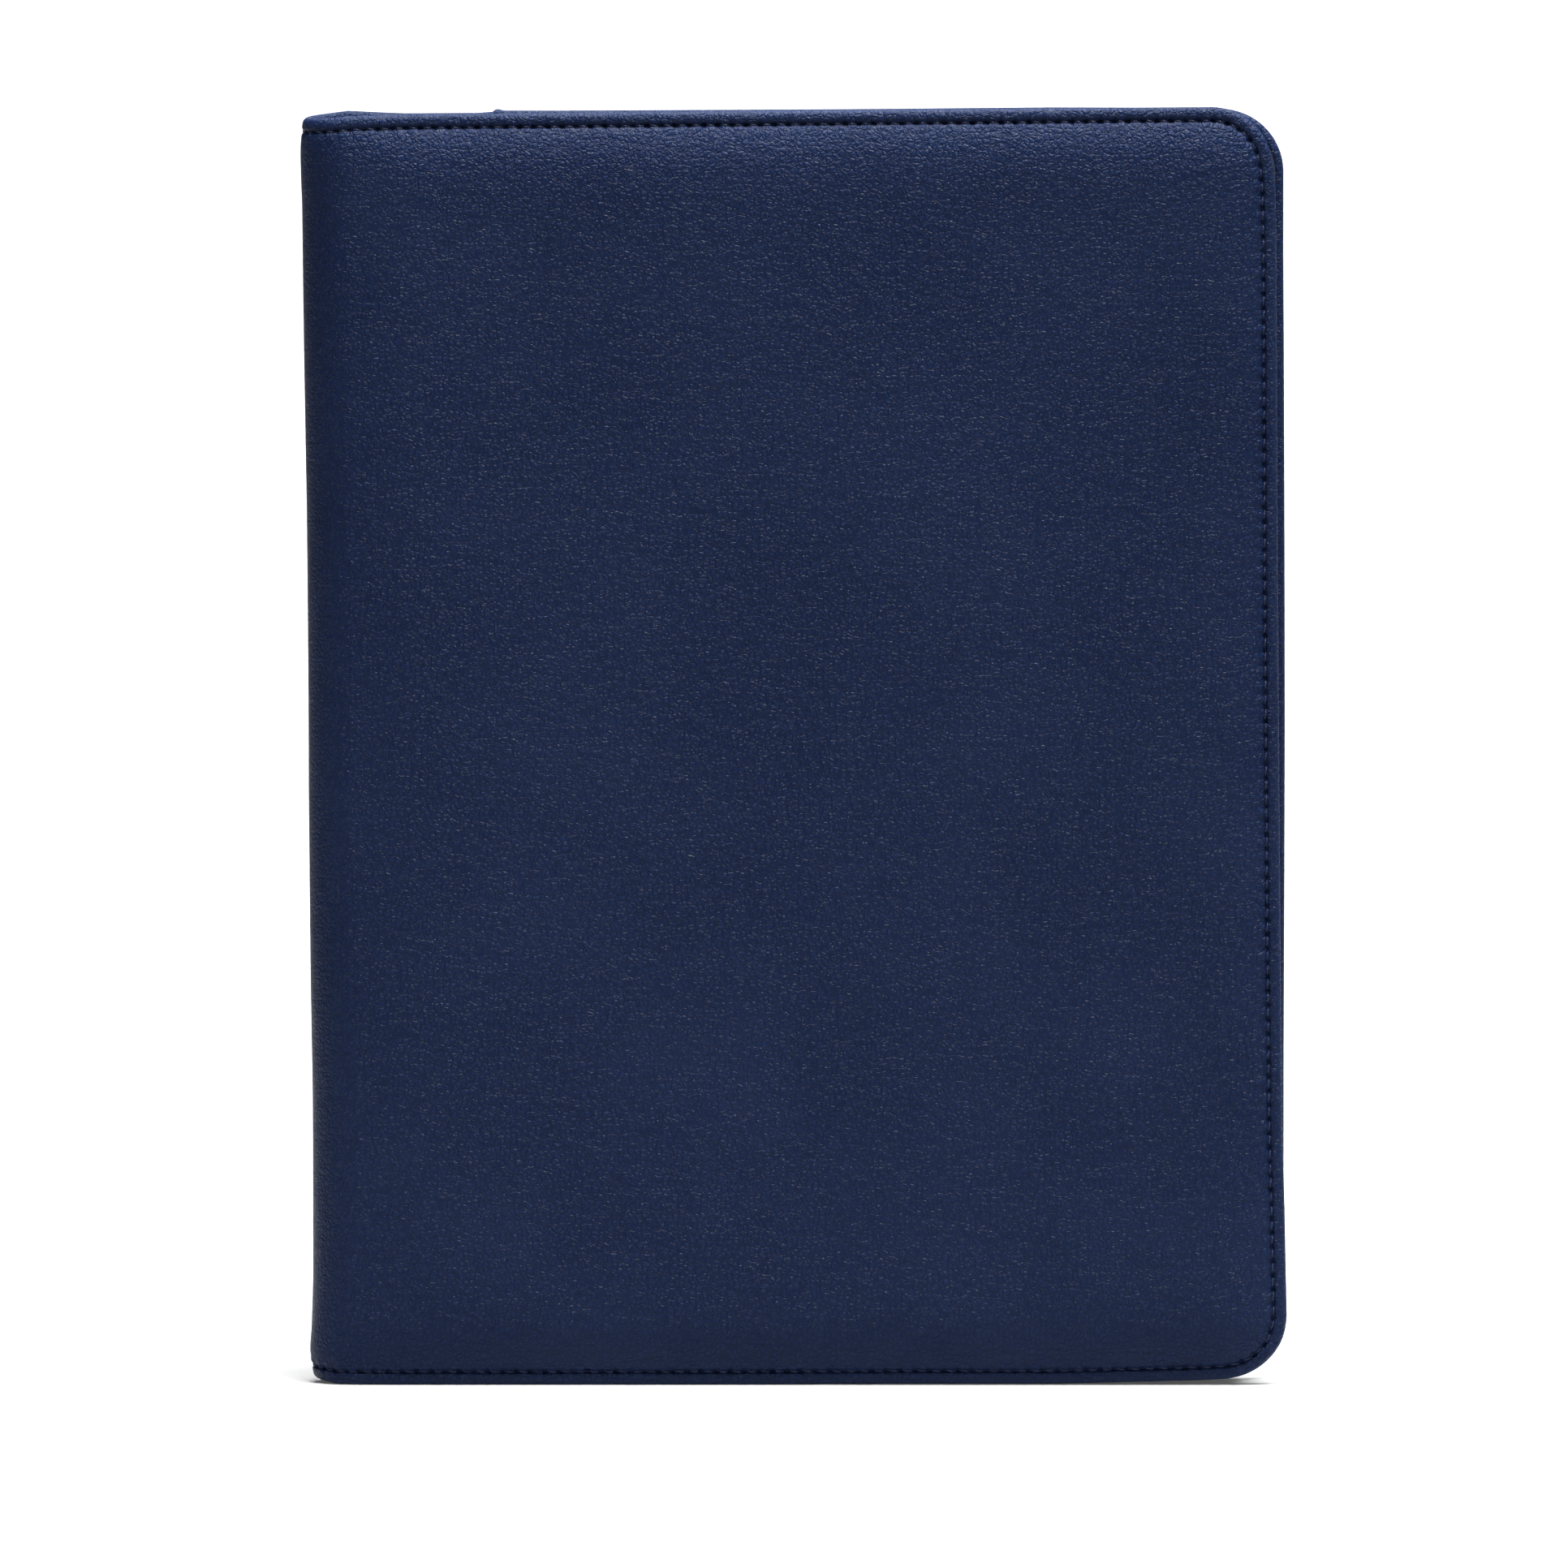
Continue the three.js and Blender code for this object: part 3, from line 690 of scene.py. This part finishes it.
class Finish:
    """A node material with one Principled shader."""

    def __init__(self, name, color, roughness, metallic=0.0, specular=0.5):
        self.material = bpy.data.materials.new(name)
        self.material.use_nodes = True
        self.tree = self.material.node_tree
        self.tree.nodes.clear()
        self.shader = self.node("ShaderNodeBsdfPrincipled")
        output = self.node("ShaderNodeOutputMaterial")
        self.link(self.shader.outputs[0], output.inputs[0])
        self.shader.inputs["Base Color"].default_value = (*color, 1.0)
        self.shader.inputs["Roughness"].default_value = roughness
        self.shader.inputs["Metallic"].default_value = metallic
        self.shader.inputs["Specular IOR Level"].default_value = specular

    def node(self, kind, **settings):
        made = self.tree.nodes.new(kind)
        for key, value in settings.items():
            setattr(made, key, value)
        return made

    def link(self, out, into):
        self.tree.links.new(out, into)

    def attribute(self, name, output="Fac"):
        return self.node("ShaderNodeAttribute", attribute_name=name).outputs[output]

    def solid_place(self):
        """The piece's own coordinates, in millimetres."""
        place_node = self.node("ShaderNodeTexCoord").outputs["Object"]
        scale = self.node("ShaderNodeVectorMath", operation="SCALE")
        self.link(place_node, scale.inputs[0])
        scale.inputs["Scale"].default_value = 1000
        return scale.outputs[0]

    def noise(self, vector, scale, detail=2.0, rough=0.5):
        made = self.node("ShaderNodeTexNoise")
        made.inputs["Scale"].default_value = scale
        made.inputs["Detail"].default_value = detail
        made.inputs["Roughness"].default_value = rough
        self.link(vector, made.inputs["Vector"])
        return made

    def cells(self, vector, scale, feature="DISTANCE_TO_EDGE"):
        made = self.node("ShaderNodeTexVoronoi", feature=feature)
        made.inputs["Scale"].default_value = scale
        self.link(vector, made.inputs["Vector"])
        return made.outputs["Distance"]

    def remap(self, value, low, high, to_low=0.0, to_high=1.0, kind="SMOOTHSTEP"):
        made = self.node("ShaderNodeMapRange", interpolation_type=kind)
        keys = ("From Min", "From Max", "To Min", "To Max")
        for key, number in zip(keys, (low, high, to_low, to_high)):
            made.inputs[key].default_value = number
        self.link(value, made.inputs["Value"])
        return made.outputs[0]

    def math(self, operation, first, second):
        made = self.node("ShaderNodeMath", operation=operation)
        for socket, value in zip(made.inputs, (first, second)):
            if isinstance(value, (int, float)):
                socket.default_value = value
            else:
                self.link(value, socket)
        return made.outputs[0]

    def mix(self, share, first, second):
        made = self.node("ShaderNodeMix", data_type="RGBA")
        sockets = [made.inputs[0], made.inputs[6], made.inputs[7]]
        for socket, value in zip(sockets, (share, first, second)):
            if isinstance(value, tuple):
                socket.default_value = (*value, 1.0)
            else:
                self.link(value, socket)
        return made.outputs[2]

    def bump(self, height, depth_mm, strength=1.0):
        made = self.node("ShaderNodeBump")
        made.inputs["Strength"].default_value = strength
        made.inputs["Distance"].default_value = depth_mm * 0.001
        self.link(height, made.inputs["Height"])
        self.link(made.outputs[0], self.shader.inputs["Normal"])

    def set(self, socket, value):
        self.link(value, self.shader.inputs[socket])


NAVY = (0.0058, 0.0147, 0.0522)
# painted shade for the creases between the grain's pebbles
NAVY_CREASE_SHADE = (0.0028, 0.0070, 0.0250)
NAVY_PALE = (0.0160, 0.0290, 0.0800)
# painted shade for the stitch groove and needle holes
STITCH_LINE_SHADE = (0.0012, 0.0016, 0.0045)


def leather(name, grain=1.0):
    """Grained leather, paler where it is rubbed, with painted shade in the creases between its
    pebbles and painted shade darkening the stitch groove and needle holes almost to black.
    """
    made = Finish(name, NAVY, 0.45, specular=0.1)
    place_mm = made.attribute("unrolled", "Vector")
    drift = made.noise(place_mm, 0.45, 2.0).outputs["Color"]
    push = made.node("ShaderNodeVectorMath", operation="MULTIPLY_ADD")
    made.link(drift, push.inputs[0])
    push.inputs[1].default_value = (1.1, 1.1, 1.1)
    made.link(place_mm, push.inputs[2])
    warped = push.outputs[0]
    pebble = made.remap(made.cells(warped, 0.78 * grain), 0.0, 0.30)
    small = made.remap(made.cells(warped, 1.75 * grain), 0.0, 0.28)
    fine = made.noise(place_mm, 3.4 * grain, 3.0, 0.6).outputs["Fac"]
    stretched = made.node("ShaderNodeMapping")
    stretched.inputs["Scale"].default_value = (0.16, 0.5, 0.3)
    made.link(place_mm, stretched.inputs["Vector"])
    ripple = made.noise(stretched.outputs[0], 1.0, 3.0, 0.55).outputs["Fac"]
    height = made.math("MULTIPLY", pebble, 0.55)
    for layer, amount in ((small, 0.3), (fine, 0.35), (ripple, 1.2)):
        height = made.math("ADD", height, made.math("MULTIPLY", layer, amount))
    made.bump(height, 0.23)
    # painted shade: the creases between the grain's pebbles are darkened
    body = made.mix(made.remap(pebble, 0.0, 1.0, 0.45, 1.0), NAVY_CREASE_SHADE, NAVY)
    clouds = made.noise(place_mm, 0.021, 3.0).outputs["Fac"]
    body = made.mix(made.remap(clouds, 0.35, 0.7, 0.0, 0.16), body, NAVY_PALE)
    body = made.mix(made.math("MULTIPLY", made.attribute("rub"), 0.42), body, NAVY_PALE)
    # painted shade: the stitch groove and needle holes darken almost to black
    body = made.mix(made.math("MULTIPLY", made.attribute("hollow"), 0.86), body, STITCH_LINE_SHADE)
    made.set("Base Color", body)
    patches = made.noise(place_mm, 0.13, 3.0).outputs["Fac"]
    made.set("Roughness", made.remap(patches, 0.3, 0.7, 0.32, 0.40, "LINEAR"))
    return made.material


def waxed_thread():
    made = Finish("waxed_thread", (0.018, 0.026, 0.068), 0.5, specular=0.3)
    place_mm = made.attribute("unrolled", "Vector")
    twist = made.node("ShaderNodeTexWave", wave_type="BANDS", bands_direction="DIAGONAL")
    twist.inputs["Scale"].default_value = 0.9
    twist.inputs["Distortion"].default_value = 0.6
    made.link(place_mm, twist.inputs["Vector"])
    made.bump(twist.outputs["Fac"], 0.05)
    dark, light = (0.009, 0.014, 0.040), (0.024, 0.032, 0.082)
    made.set("Base Color", made.mix(twist.outputs["Fac"], dark, light))
    return made.material


def cloth(name, dark, light):
    """Microsuede: a short nap with soft patches."""
    made = Finish(name, dark, 0.95, specular=0.2)
    made.shader.inputs["Sheen Weight"].default_value = 0.35
    made.shader.inputs["Sheen Roughness"].default_value = 0.6
    place_mm = made.attribute("unrolled", "Vector")
    fuzz = made.noise(place_mm, 2.6, 4.0, 0.7).outputs["Fac"]
    brushed = made.noise(place_mm, 0.09, 3.0, 0.6).outputs["Fac"]
    patches = made.remap(brushed, 0.3, 0.7)
    share = made.math("MULTIPLY", patches, made.remap(fuzz, 0.2, 0.8, 0.5, 1.0))
    made.set("Base Color", made.mix(share, dark, light))
    made.bump(fuzz, 0.12, 0.8)
    return made.material


def plastic(name, dark, light, roughness, texture, depth):
    """Moulded plastic with a fine spark-eroded texture."""
    made = Finish(name, dark, roughness)
    place_mm = made.solid_place()
    speckle = made.noise(place_mm, texture, 3.0, 0.6).outputs["Fac"]
    tone = made.noise(place_mm, 0.05, 3.0).outputs["Fac"]
    made.set("Base Color", made.mix(made.remap(tone, 0.3, 0.7), dark, light))
    made.set("Roughness", made.remap(tone, 0.3, 0.7, roughness - 0.06, roughness + 0.06, "LINEAR"))
    made.bump(speckle, depth)
    return made.material


def metal(name, dark, light, roughness):
    """Metal brushed along its X."""
    made = Finish(name, light, roughness, metallic=1.0)
    place_mm = made.solid_place()
    brushed = made.node("ShaderNodeMapping")
    brushed.inputs["Scale"].default_value = (0.4, 6.0, 6.0)
    made.link(place_mm, brushed.inputs["Vector"])
    lines = made.noise(brushed.outputs[0], 1.0, 4.0, 0.6).outputs["Fac"]
    made.set("Base Color", made.mix(lines, dark, light))
    made.set("Roughness", made.remap(lines, 0.2, 0.8, roughness - 0.08, roughness + 0.1, "LINEAR"))
    made.bump(lines, 0.01, 0.6)
    return made.material


def foam(name, dark, light):
    """Open pores, for foam and for grey board."""
    made = Finish(name, dark, 0.95, specular=0.2)
    place_mm = made.attribute("unrolled", "Vector")
    pores = made.remap(made.cells(place_mm, 1.6, "F1"), 0.1, 0.6)
    made.set("Base Color", made.mix(pores, dark, light))
    made.bump(pores, 0.15, 0.8)
    return made.material


NAVY_LEATHER = leather("navy_leather")
PALM_LEATHER = leather("palm_leather", 1.35)
THREAD = waxed_thread()
MICROSUEDE = cloth("microsuede", (0.016, 0.020, 0.032), (0.034, 0.040, 0.058))
FOAM = foam("padding_foam", (0.16, 0.17, 0.18), (0.30, 0.31, 0.32))
BOARD = foam("stiff_board", (0.10, 0.085, 0.065), (0.19, 0.165, 0.13))
TRAY = plastic("tray_plastic", (0.012, 0.015, 0.021), (0.018, 0.022, 0.030), 0.48, 5.0, 0.03)
DECK = plastic("deck_plastic", (0.016, 0.019, 0.027), (0.023, 0.027, 0.037), 0.42, 8.0, 0.012)
KEYS = plastic("keycap_plastic", (0.0075, 0.0085, 0.011), (0.012, 0.013, 0.017), 0.5, 9.0, 0.02)
PAD = plastic("trackpad_face", (0.012, 0.014, 0.020), (0.014, 0.017, 0.023), 0.42, 12.0, 0.0015)
RING = plastic("camera_ring", (0.010, 0.012, 0.018), (0.016, 0.018, 0.026), 0.34, 7.0, 0.01)
STEEL = metal("bright_steel", (0.42, 0.43, 0.45), (0.62, 0.63, 0.65), 0.28)
MAGNET = metal("magnet_steel", (0.30, 0.31, 0.33), (0.47, 0.48, 0.50), 0.38)
RUBBER = plastic("dome_rubber", (0.50, 0.50, 0.46), (0.60, 0.60, 0.56), 0.75, 3.0, 0.03)
FILM = plastic("clear_film", (0.36, 0.39, 0.37), (0.46, 0.49, 0.47), 0.3, 2.0, 0.01)
CIRCUIT = plastic("circuit_board", (0.010, 0.075, 0.035), (0.016, 0.11, 0.055), 0.45, 1.2, 0.03)
POUCH = metal("battery_pouch", (0.40, 0.41, 0.43), (0.55, 0.56, 0.58), 0.42)
LENS = plastic("light_lens", (0.62, 0.66, 0.68), (0.75, 0.78, 0.80), 0.2, 2.0, 0.002)


def wear(obj, material):
    obj.data.materials.clear()
    obj.data.materials.append(material)
    return obj


# -------------------- the leather and its stitches

# Where each bend starts and ends, in metres
HINGE_START = (-0.114, 0, 0.15)
HINGE_END = (-0.099, 0, 0.15)
LINING_BEND_START = (-0.111, 0, 0.15)
FRONT_LINING_END = (-0.1007, 0, 0.15)
FLAP_LINING_END = (-0.1045, 0, 0.15)
FOLD_START = (FOLD_X * 0.001, 0.011, 0.15)
FOLD_END = (FOLD_X * 0.001 + 0.0062, 0.011, 0.15)
flap_length = SPINE_SEAM - REAR_FOLD

skins = [
    (Skin("front_skin", SPINE_SEAM, FRONT, FRONT_EDGE - SPINE_SEAM, True, seed=3),
     ("spine", "front_cover", HINGE_START, HINGE_END), ("front_leather", "spine_leather")),
    (Skin("flap_skin", SPINE_SEAM, REAR, flap_length, False, seed=4),
     ("spine", "stand_flap", HINGE_START, HINGE_END), ("flap_leather",)),
    (Skin("rear_skin", REAR_FOLD, REAR, FRONT_EDGE + REAR_FOLD, True, True, seed=5),
     ("stand_flap", "rear_panel", FOLD_START, FOLD_END), ("rear_leather",)),
]
for skin, bend, nodes in skins:
    hide = wear(skin.build(), NAVY_LEATHER)
    stitches = wear(skin.threads(), THREAD)
    for piece in (hide, stitches):
        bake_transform(piece)
    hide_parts(*nodes)


# -------------------- foam, boards and linings

CORE_IN = 2.2
LINING_IN = 2.0
UNROLLED_SPINE = HINGE_X - QUARTER
STIFFENER_REACH = 8
FOAM_DEPTHS = (1.15, 2.35)
BOARD_DEPTHS = (2.4, 3.62)
LINING_DEPTHS = (3.72, 4.4)


def lining_depth(x):
    """The lining lies 2.1 mm nearer the leather round the spine, where there is no board."""
    return -2.1 * (1 - smooth((x + 112) / 10))


core = FREE_X - CORE_IN
cores = [
    ("front", FRONT, "front_cover", HINGE_X + 3, core, CORNER - CORE_IN, []),
    ("flap", REAR, "stand_flap", HINGE_X + 3, FOLD_X - 1, 0.3, []),
    ("rear", REAR, "rear_panel", FOLD_X + 1, core, CORNER - CORE_IN, [WINDOW]),
]
for name, side, body, x0, x1, radius, holes in cores:
    for layer, depths, material, slot_name in (
        ("foam", FOAM_DEPTHS, FOAM, "padding_foam"),
        ("board", BOARD_DEPTHS, BOARD, "stiff_board"),
    ):
        piece = cover_layer(f"{name}_{layer}_sheet", side, x0, x1, CORE_IN, depths, radius, holes)
        wear(piece, material)
        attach(piece, body)
        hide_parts(f"{name}_{layer}")

stiffener = cover_layer("spine_stiffener_sheet", FRONT, UNROLLED_SPINE - STIFFENER_REACH,
                        UNROLLED_SPINE + STIFFENER_REACH, CORE_IN, (1.17, 1.57))
wear(stiffener, BOARD)
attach(stiffener, "spine")
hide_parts("spine_stiffener")

lining = FREE_X - LINING_IN
linings = [
    ("front_lining_cloth", FRONT, UNROLLED_SPINE + SPINE_SEAM, lining, CORNER - 2, [], lining_depth,
     ("spine", "front_cover", LINING_BEND_START, FRONT_LINING_END),
     ("front_lining", "spine_lining")),
    ("flap_lining_cloth", REAR, UNROLLED_SPINE - SPINE_SEAM, FOLD_X - 0.2, 0.3, [], lining_depth,
     ("spine", "stand_flap", LINING_BEND_START, FLAP_LINING_END), ("flap_lining",)),
    ("rear_lining_cloth", REAR, FOLD_X + 0.2, lining, CORNER - 2, [WINDOW], None,
     ("stand_flap", "rear_panel", FOLD_START, FOLD_END), ("rear_lining",)),
]
for name, side, x0, x1, radius, holes, depth_at, bend, nodes in linings:
    piece = cover_layer(name, side, x0, x1, LINING_IN, LINING_DEPTHS, radius, holes, depth_at)
    wear(piece, MICROSUEDE)
    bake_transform(piece)
    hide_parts(*nodes)


# -------------------- keyboard, palm rest and tray

CAP_RADIUS = 1.5
CAP_TOP = -1.2
CAP_STEP = 1.4
WEB_TOP = -3.4
WEB_BOTTOM = -3.9
WEB_HALF = 2.5
TO_WEB = 0.03

# Insets from a cap's rim with the drop from its top, from the web up to the start of the dish
CAP_PROFILE = [(0, TO_WEB), (0.12, -0.62), (0.3, -0.24), (0.5, -0.1), (0.78, -0.04), (1.2, -0.05)]
DISH_SHARES = (0.35, 0.6, 0.82)


def cap_tops(node):
    """The keycaps of a CAD key node, as (x0, x1, z0, z1)."""
    work = bmesh.new()
    work.from_mesh(frame["nodes"][node].data)
    bmesh.ops.remove_doubles(work, verts=work.verts[:], dist=1e-6)
    top = [f for f in work.faces if all(abs(v.co.y * 1000 - CAP_TOP) < 0.02 for v in f.verts)]
    waiting, caps = set(top), []
    while waiting:
        group, reach = set(), [waiting.pop()]
        while reach:
            face = reach.pop()
            group.add(face)
            for edge in face.edges:
                for other in edge.link_faces:
                    if other in waiting:
                        waiting.remove(other)
                        reach.append(other)
        xs = [v.co.x * 1000 for f in group for v in f.verts]
        zs = [v.co.z * 1000 for f in group for v in f.verts]
        caps.append((min(xs), max(xs), min(zs), max(zs)))
    work.free()
    return sorted(caps)


def keycaps(node):
    """Moulded keycaps with drafted sides, a rounded rim and a shallow dish, on their web."""
    points, faces = [], []
    caps = cap_tops(node)
    for x0, x1, z0, z1 in caps:
        rim = span_rim(x0, x1, z0, z1, CAP_RADIUS)
        half = min(x1 - x0, z1 - z0) / 2
        dished = [(half * s, -0.05 - 0.2 * smooth(s * 1.25 - 0.2)) for s in DISH_SHARES]
        rings = []
        for inset, drop in CAP_PROFILE + dished:
            height = WEB_TOP if drop == TO_WEB else CAP_TOP + drop
            if inset > CAP_RADIUS - 0.05:
                x, z = loop(rim, CAP_STEP)
                x = np.clip(x, x0 + inset, x1 - inset)
                z = np.clip(z, z0 + inset, z1 - inset)
            else:
                x, z = loop(rim, CAP_STEP, -inset)
            ring = np.arange(len(points), len(points) + len(x))
            points += [(px, height, pz) for px, pz in zip(x, z)]
            rings.append(ring)
        faces += bands(rings)
        faces.append(rings[0].tolist())
        faces.append(rings[-1].tolist())
    web_low, web_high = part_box(node)
    middle = (caps[0][0] + caps[0][1]) / 2
    rim = span_rim(middle - WEB_HALF, middle + WEB_HALF,
                   web_low.z * 1000 + 1, web_high.z * 1000 - 1, 0.6)
    x, z = loop(rim, 6.0)
    low = np.arange(len(points), len(points) + len(x))
    points += [(px, WEB_BOTTOM, pz) for px, pz in zip(x, z)]
    high = low + len(x)
    points += [(px, WEB_TOP - 0.02, pz) for px, pz in zip(x, z)]
    faces += bands([low, high])
    faces += [low.tolist(), high.tolist()]
    made = add_mesh(node + "_caps", np.array(points) * 0.001, faces, shade_angle=0.75)
    clean = bmesh.new()
    clean.from_mesh(made.data)
    bmesh.ops.remove_doubles(clean, verts=clean.verts[:], dist=1e-6)
    clean.to_mesh(made.data)
    clean.free()
    return made


KEY_ENDINGS = ("_key", "_keys", "space_bar")
for node in [name for name in frame["nodes"] if name.endswith(KEY_ENDINGS)]:
    piece = wear(keycaps(node), KEYS)
    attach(piece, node)
    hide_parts(node)

# The padded palm rest, with the trackpad's window
PALM_PROFILE = [(0.1, -1.8), (0, -1.65), (0.08, -1.45), (0.25, -1.34), (0.5, -1.3)]
PALM_SEAM = 2.4


def palm_crown(distance):
    """The padding's swell, with a seam pressed in along the edge."""
    swell = 0.42 * (1 - np.exp(-np.maximum(distance, 0) / 4))
    return swell - 0.3 * bell(distance, PALM_SEAM, 0.45)


def upright(x, z, y):
    return np.stack([x, y, z], -1) * 0.001


def box_rim(node, grow, radius, low_radius):
    """The rim round a CAD node's box, moved out by grow."""
    low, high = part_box(node)
    return span_rim(low.x * 1000 - grow, high.x * 1000 + grow,
                    low.z * 1000 - grow, high.z * 1000 + grow, radius, low_radius)


palm_rim = box_rim("palm_rest_cover", 0, 7.5, 3.0)
pad_rim = box_rim("trackpad", 0.5, 4.5, 4.5)
palm = slab("palm_rest_leather", palm_rim, [pad_rim], PALM_PROFILE, upright, palm_crown, 1.0)
wear(palm, PALM_LEATHER)
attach(palm, "front_cover")
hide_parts("palm_rest_cover")

# CAD pieces whose shape is right keep it, with a finish and edges rounded by so much
CAD_FINISHES = [
    ("tablet_tray", TRAY, "tray_plastic", 0.22), ("key_deck", DECK, "deck_plastic", 0.15),
    ("keyboard_base", DECK, "deck_plastic", 0.25), ("camera_ring", RING, "deck_plastic", 0.3),
    ("trackpad", PAD, "trackpad_face", 0.18), ("trackpad_switch", STEEL, "port_steel", 0.2),
    ("circuit_membrane", FILM, "clear_film", 0), ("dome_sheet", RUBBER, "dome_rubber", 0),
    ("battery_cell", POUCH, "battery_pouch", 0.3), ("control_board", CIRCUIT, "circuit_board", 0.1),
    ("charging_port", STEEL, "port_steel", 0.1), ("status_light", LENS, "light_lens", 0.1),
    ("power_slider", KEYS, "keycap_plastic", 0.2), ("palm_rest_foam", FOAM, "padding_foam", 0.1),
]
CAD_FINISHES += [(name, STEEL, "rivet_steel", 0.15) for name in frame["nodes"] if "rivet" in name]
CAD_FINISHES += [(name, MAGNET, "magnet_steel", 0.3) for name in frame["nodes"] if "magnet" in name]
for name, material, slot_name, soft in CAD_FINISHES:
    node = frame["nodes"][name]
    node.data.materials.clear()
    node.data.materials.append(material)
    if soft:
        rounding = node.modifiers.new("rounded_edges", "BEVEL")
        rounding.width = soft * 0.001
        rounding.segments = 2
        rounding.limit_method = "ANGLE"
        rounding.angle_limit = math.radians(40)
        rounding.harden_normals = False


# -------------------- studio

FLOOR_WHITE = (0.62, 0.62, 0.62)
CAMERA_ELEVATION = math.radians(3.6)
CAMERA_AIM = Vector((-0.0027, 0, 0.1418))
CAMERA_DISTANCE = 8.244


def studio_floor():
    plane = bmesh.new()
    bmesh.ops.create_grid(plane, x_segments=1, y_segments=1, size=30)
    mesh = bpy.data.meshes.new("studio_floor")
    plane.to_mesh(mesh)
    plane.free()
    floor = bpy.data.objects.new("studio_floor", mesh)
    bpy.context.scene.collection.objects.link(floor)
    white = Finish("white_floor", FLOOR_WHITE, 0.9, specular=0.1)
    floor.data.materials.append(white.material)
    return floor


def studio_world():
    """An almost dark room, so the lights alone shape the leather."""
    world = bpy.data.worlds.new("studio")
    bpy.context.scene.world = world
    world.use_nodes = True
    background = world.node_tree.nodes["Background"]
    background.inputs["Color"].default_value = (1, 1, 1, 1)
    background.inputs["Strength"].default_value = 0.01


def soft_light(name, place_m, aim_m, size, watts, spread):
    data = bpy.data.lights.new(name, "AREA")
    data.shape = "RECTANGLE"
    data.size, data.size_y = size
    data.energy = watts
    data.spread = math.radians(spread)
    light = bpy.data.objects.new(name, data)
    light.location = place_m
    light.rotation_euler = (Vector(aim_m) - Vector(place_m)).to_track_quat("-Z", "Y").to_euler()
    bpy.context.scene.collection.objects.link(light)
    return light


def light_only(light, lit):
    """Let a light fall on the given objects only, and pass the others without a shadow."""
    chosen = bpy.data.collections.new(light.name + "_falls_on")
    for obj in lit:
        chosen.objects.link(obj)
    light.light_linking.receiver_collection = chosen
    light.light_linking.blocker_collection = chosen


def make_camera():
    away = Vector((0, -math.cos(CAMERA_ELEVATION), math.sin(CAMERA_ELEVATION)))
    data = bpy.data.cameras.new("camera")
    data.lens = 800
    data.sensor_width = 36
    data.clip_end = 200
    camera = bpy.data.objects.new("camera", data)
    camera.location = CAMERA_AIM + CAMERA_DISTANCE * away
    camera.rotation_euler = (math.pi / 2 - CAMERA_ELEVATION, 0, 0)
    bpy.context.scene.collection.objects.link(camera)
    bpy.context.scene.camera = camera


floor = studio_floor()
covers = [obj for obj in bpy.data.objects if "_skin" in obj.name]
studio_world()

# Each light's place, aim and size in metres, its watts, its spread in degrees and what it
# falls on, None for everything. An aim 1 mm off straight down keeps the second size along Y.
LIGHTS = [
    ("overhead", (0.27, -0.35, 1.55), (0.03, -0.1, 0.1), (1.2, 0.5), 9.2, 64, None),
    ("behind", (0.2, 0.7, 1.6), (0, 0.35, 0), (1.4, 0.9), 2, 110, None),
    ("backdrop", (0.1, 4.6, 1.2), (0.1, 4.601, 0), (1.1, 8.4), 102, 110, None),
    ("shadow_fill", (0.05, 0, 1.5), (0.05, 0.001, 0), (0.5, 0.5), 0.6, 40, [floor]),
    ("front_room", (0, -3.8, 1.2), (0, -3.799, 0), (8, 5.6), 130, 120, [floor]),
    ("left_room", (-2.6, 2, 1.2), (-2.6, 2.001, 0), (3, 6), 50, 120, [floor]),
    ("right_room", (2.6, 2, 1.2), (2.6, 2.001, 0), (3, 6), 50, 120, [floor]),
    ("top_edge", (0.05, -0.06, 1.0), (0.05, 0, 0.2), (0.9, 0.12), 12, 180, covers),
]
for *settings, lit in LIGHTS:
    light = soft_light(*settings)
    if lit:
        light_only(light, lit)
make_camera()
bpy.context.scene.view_settings.view_transform = "Standard"
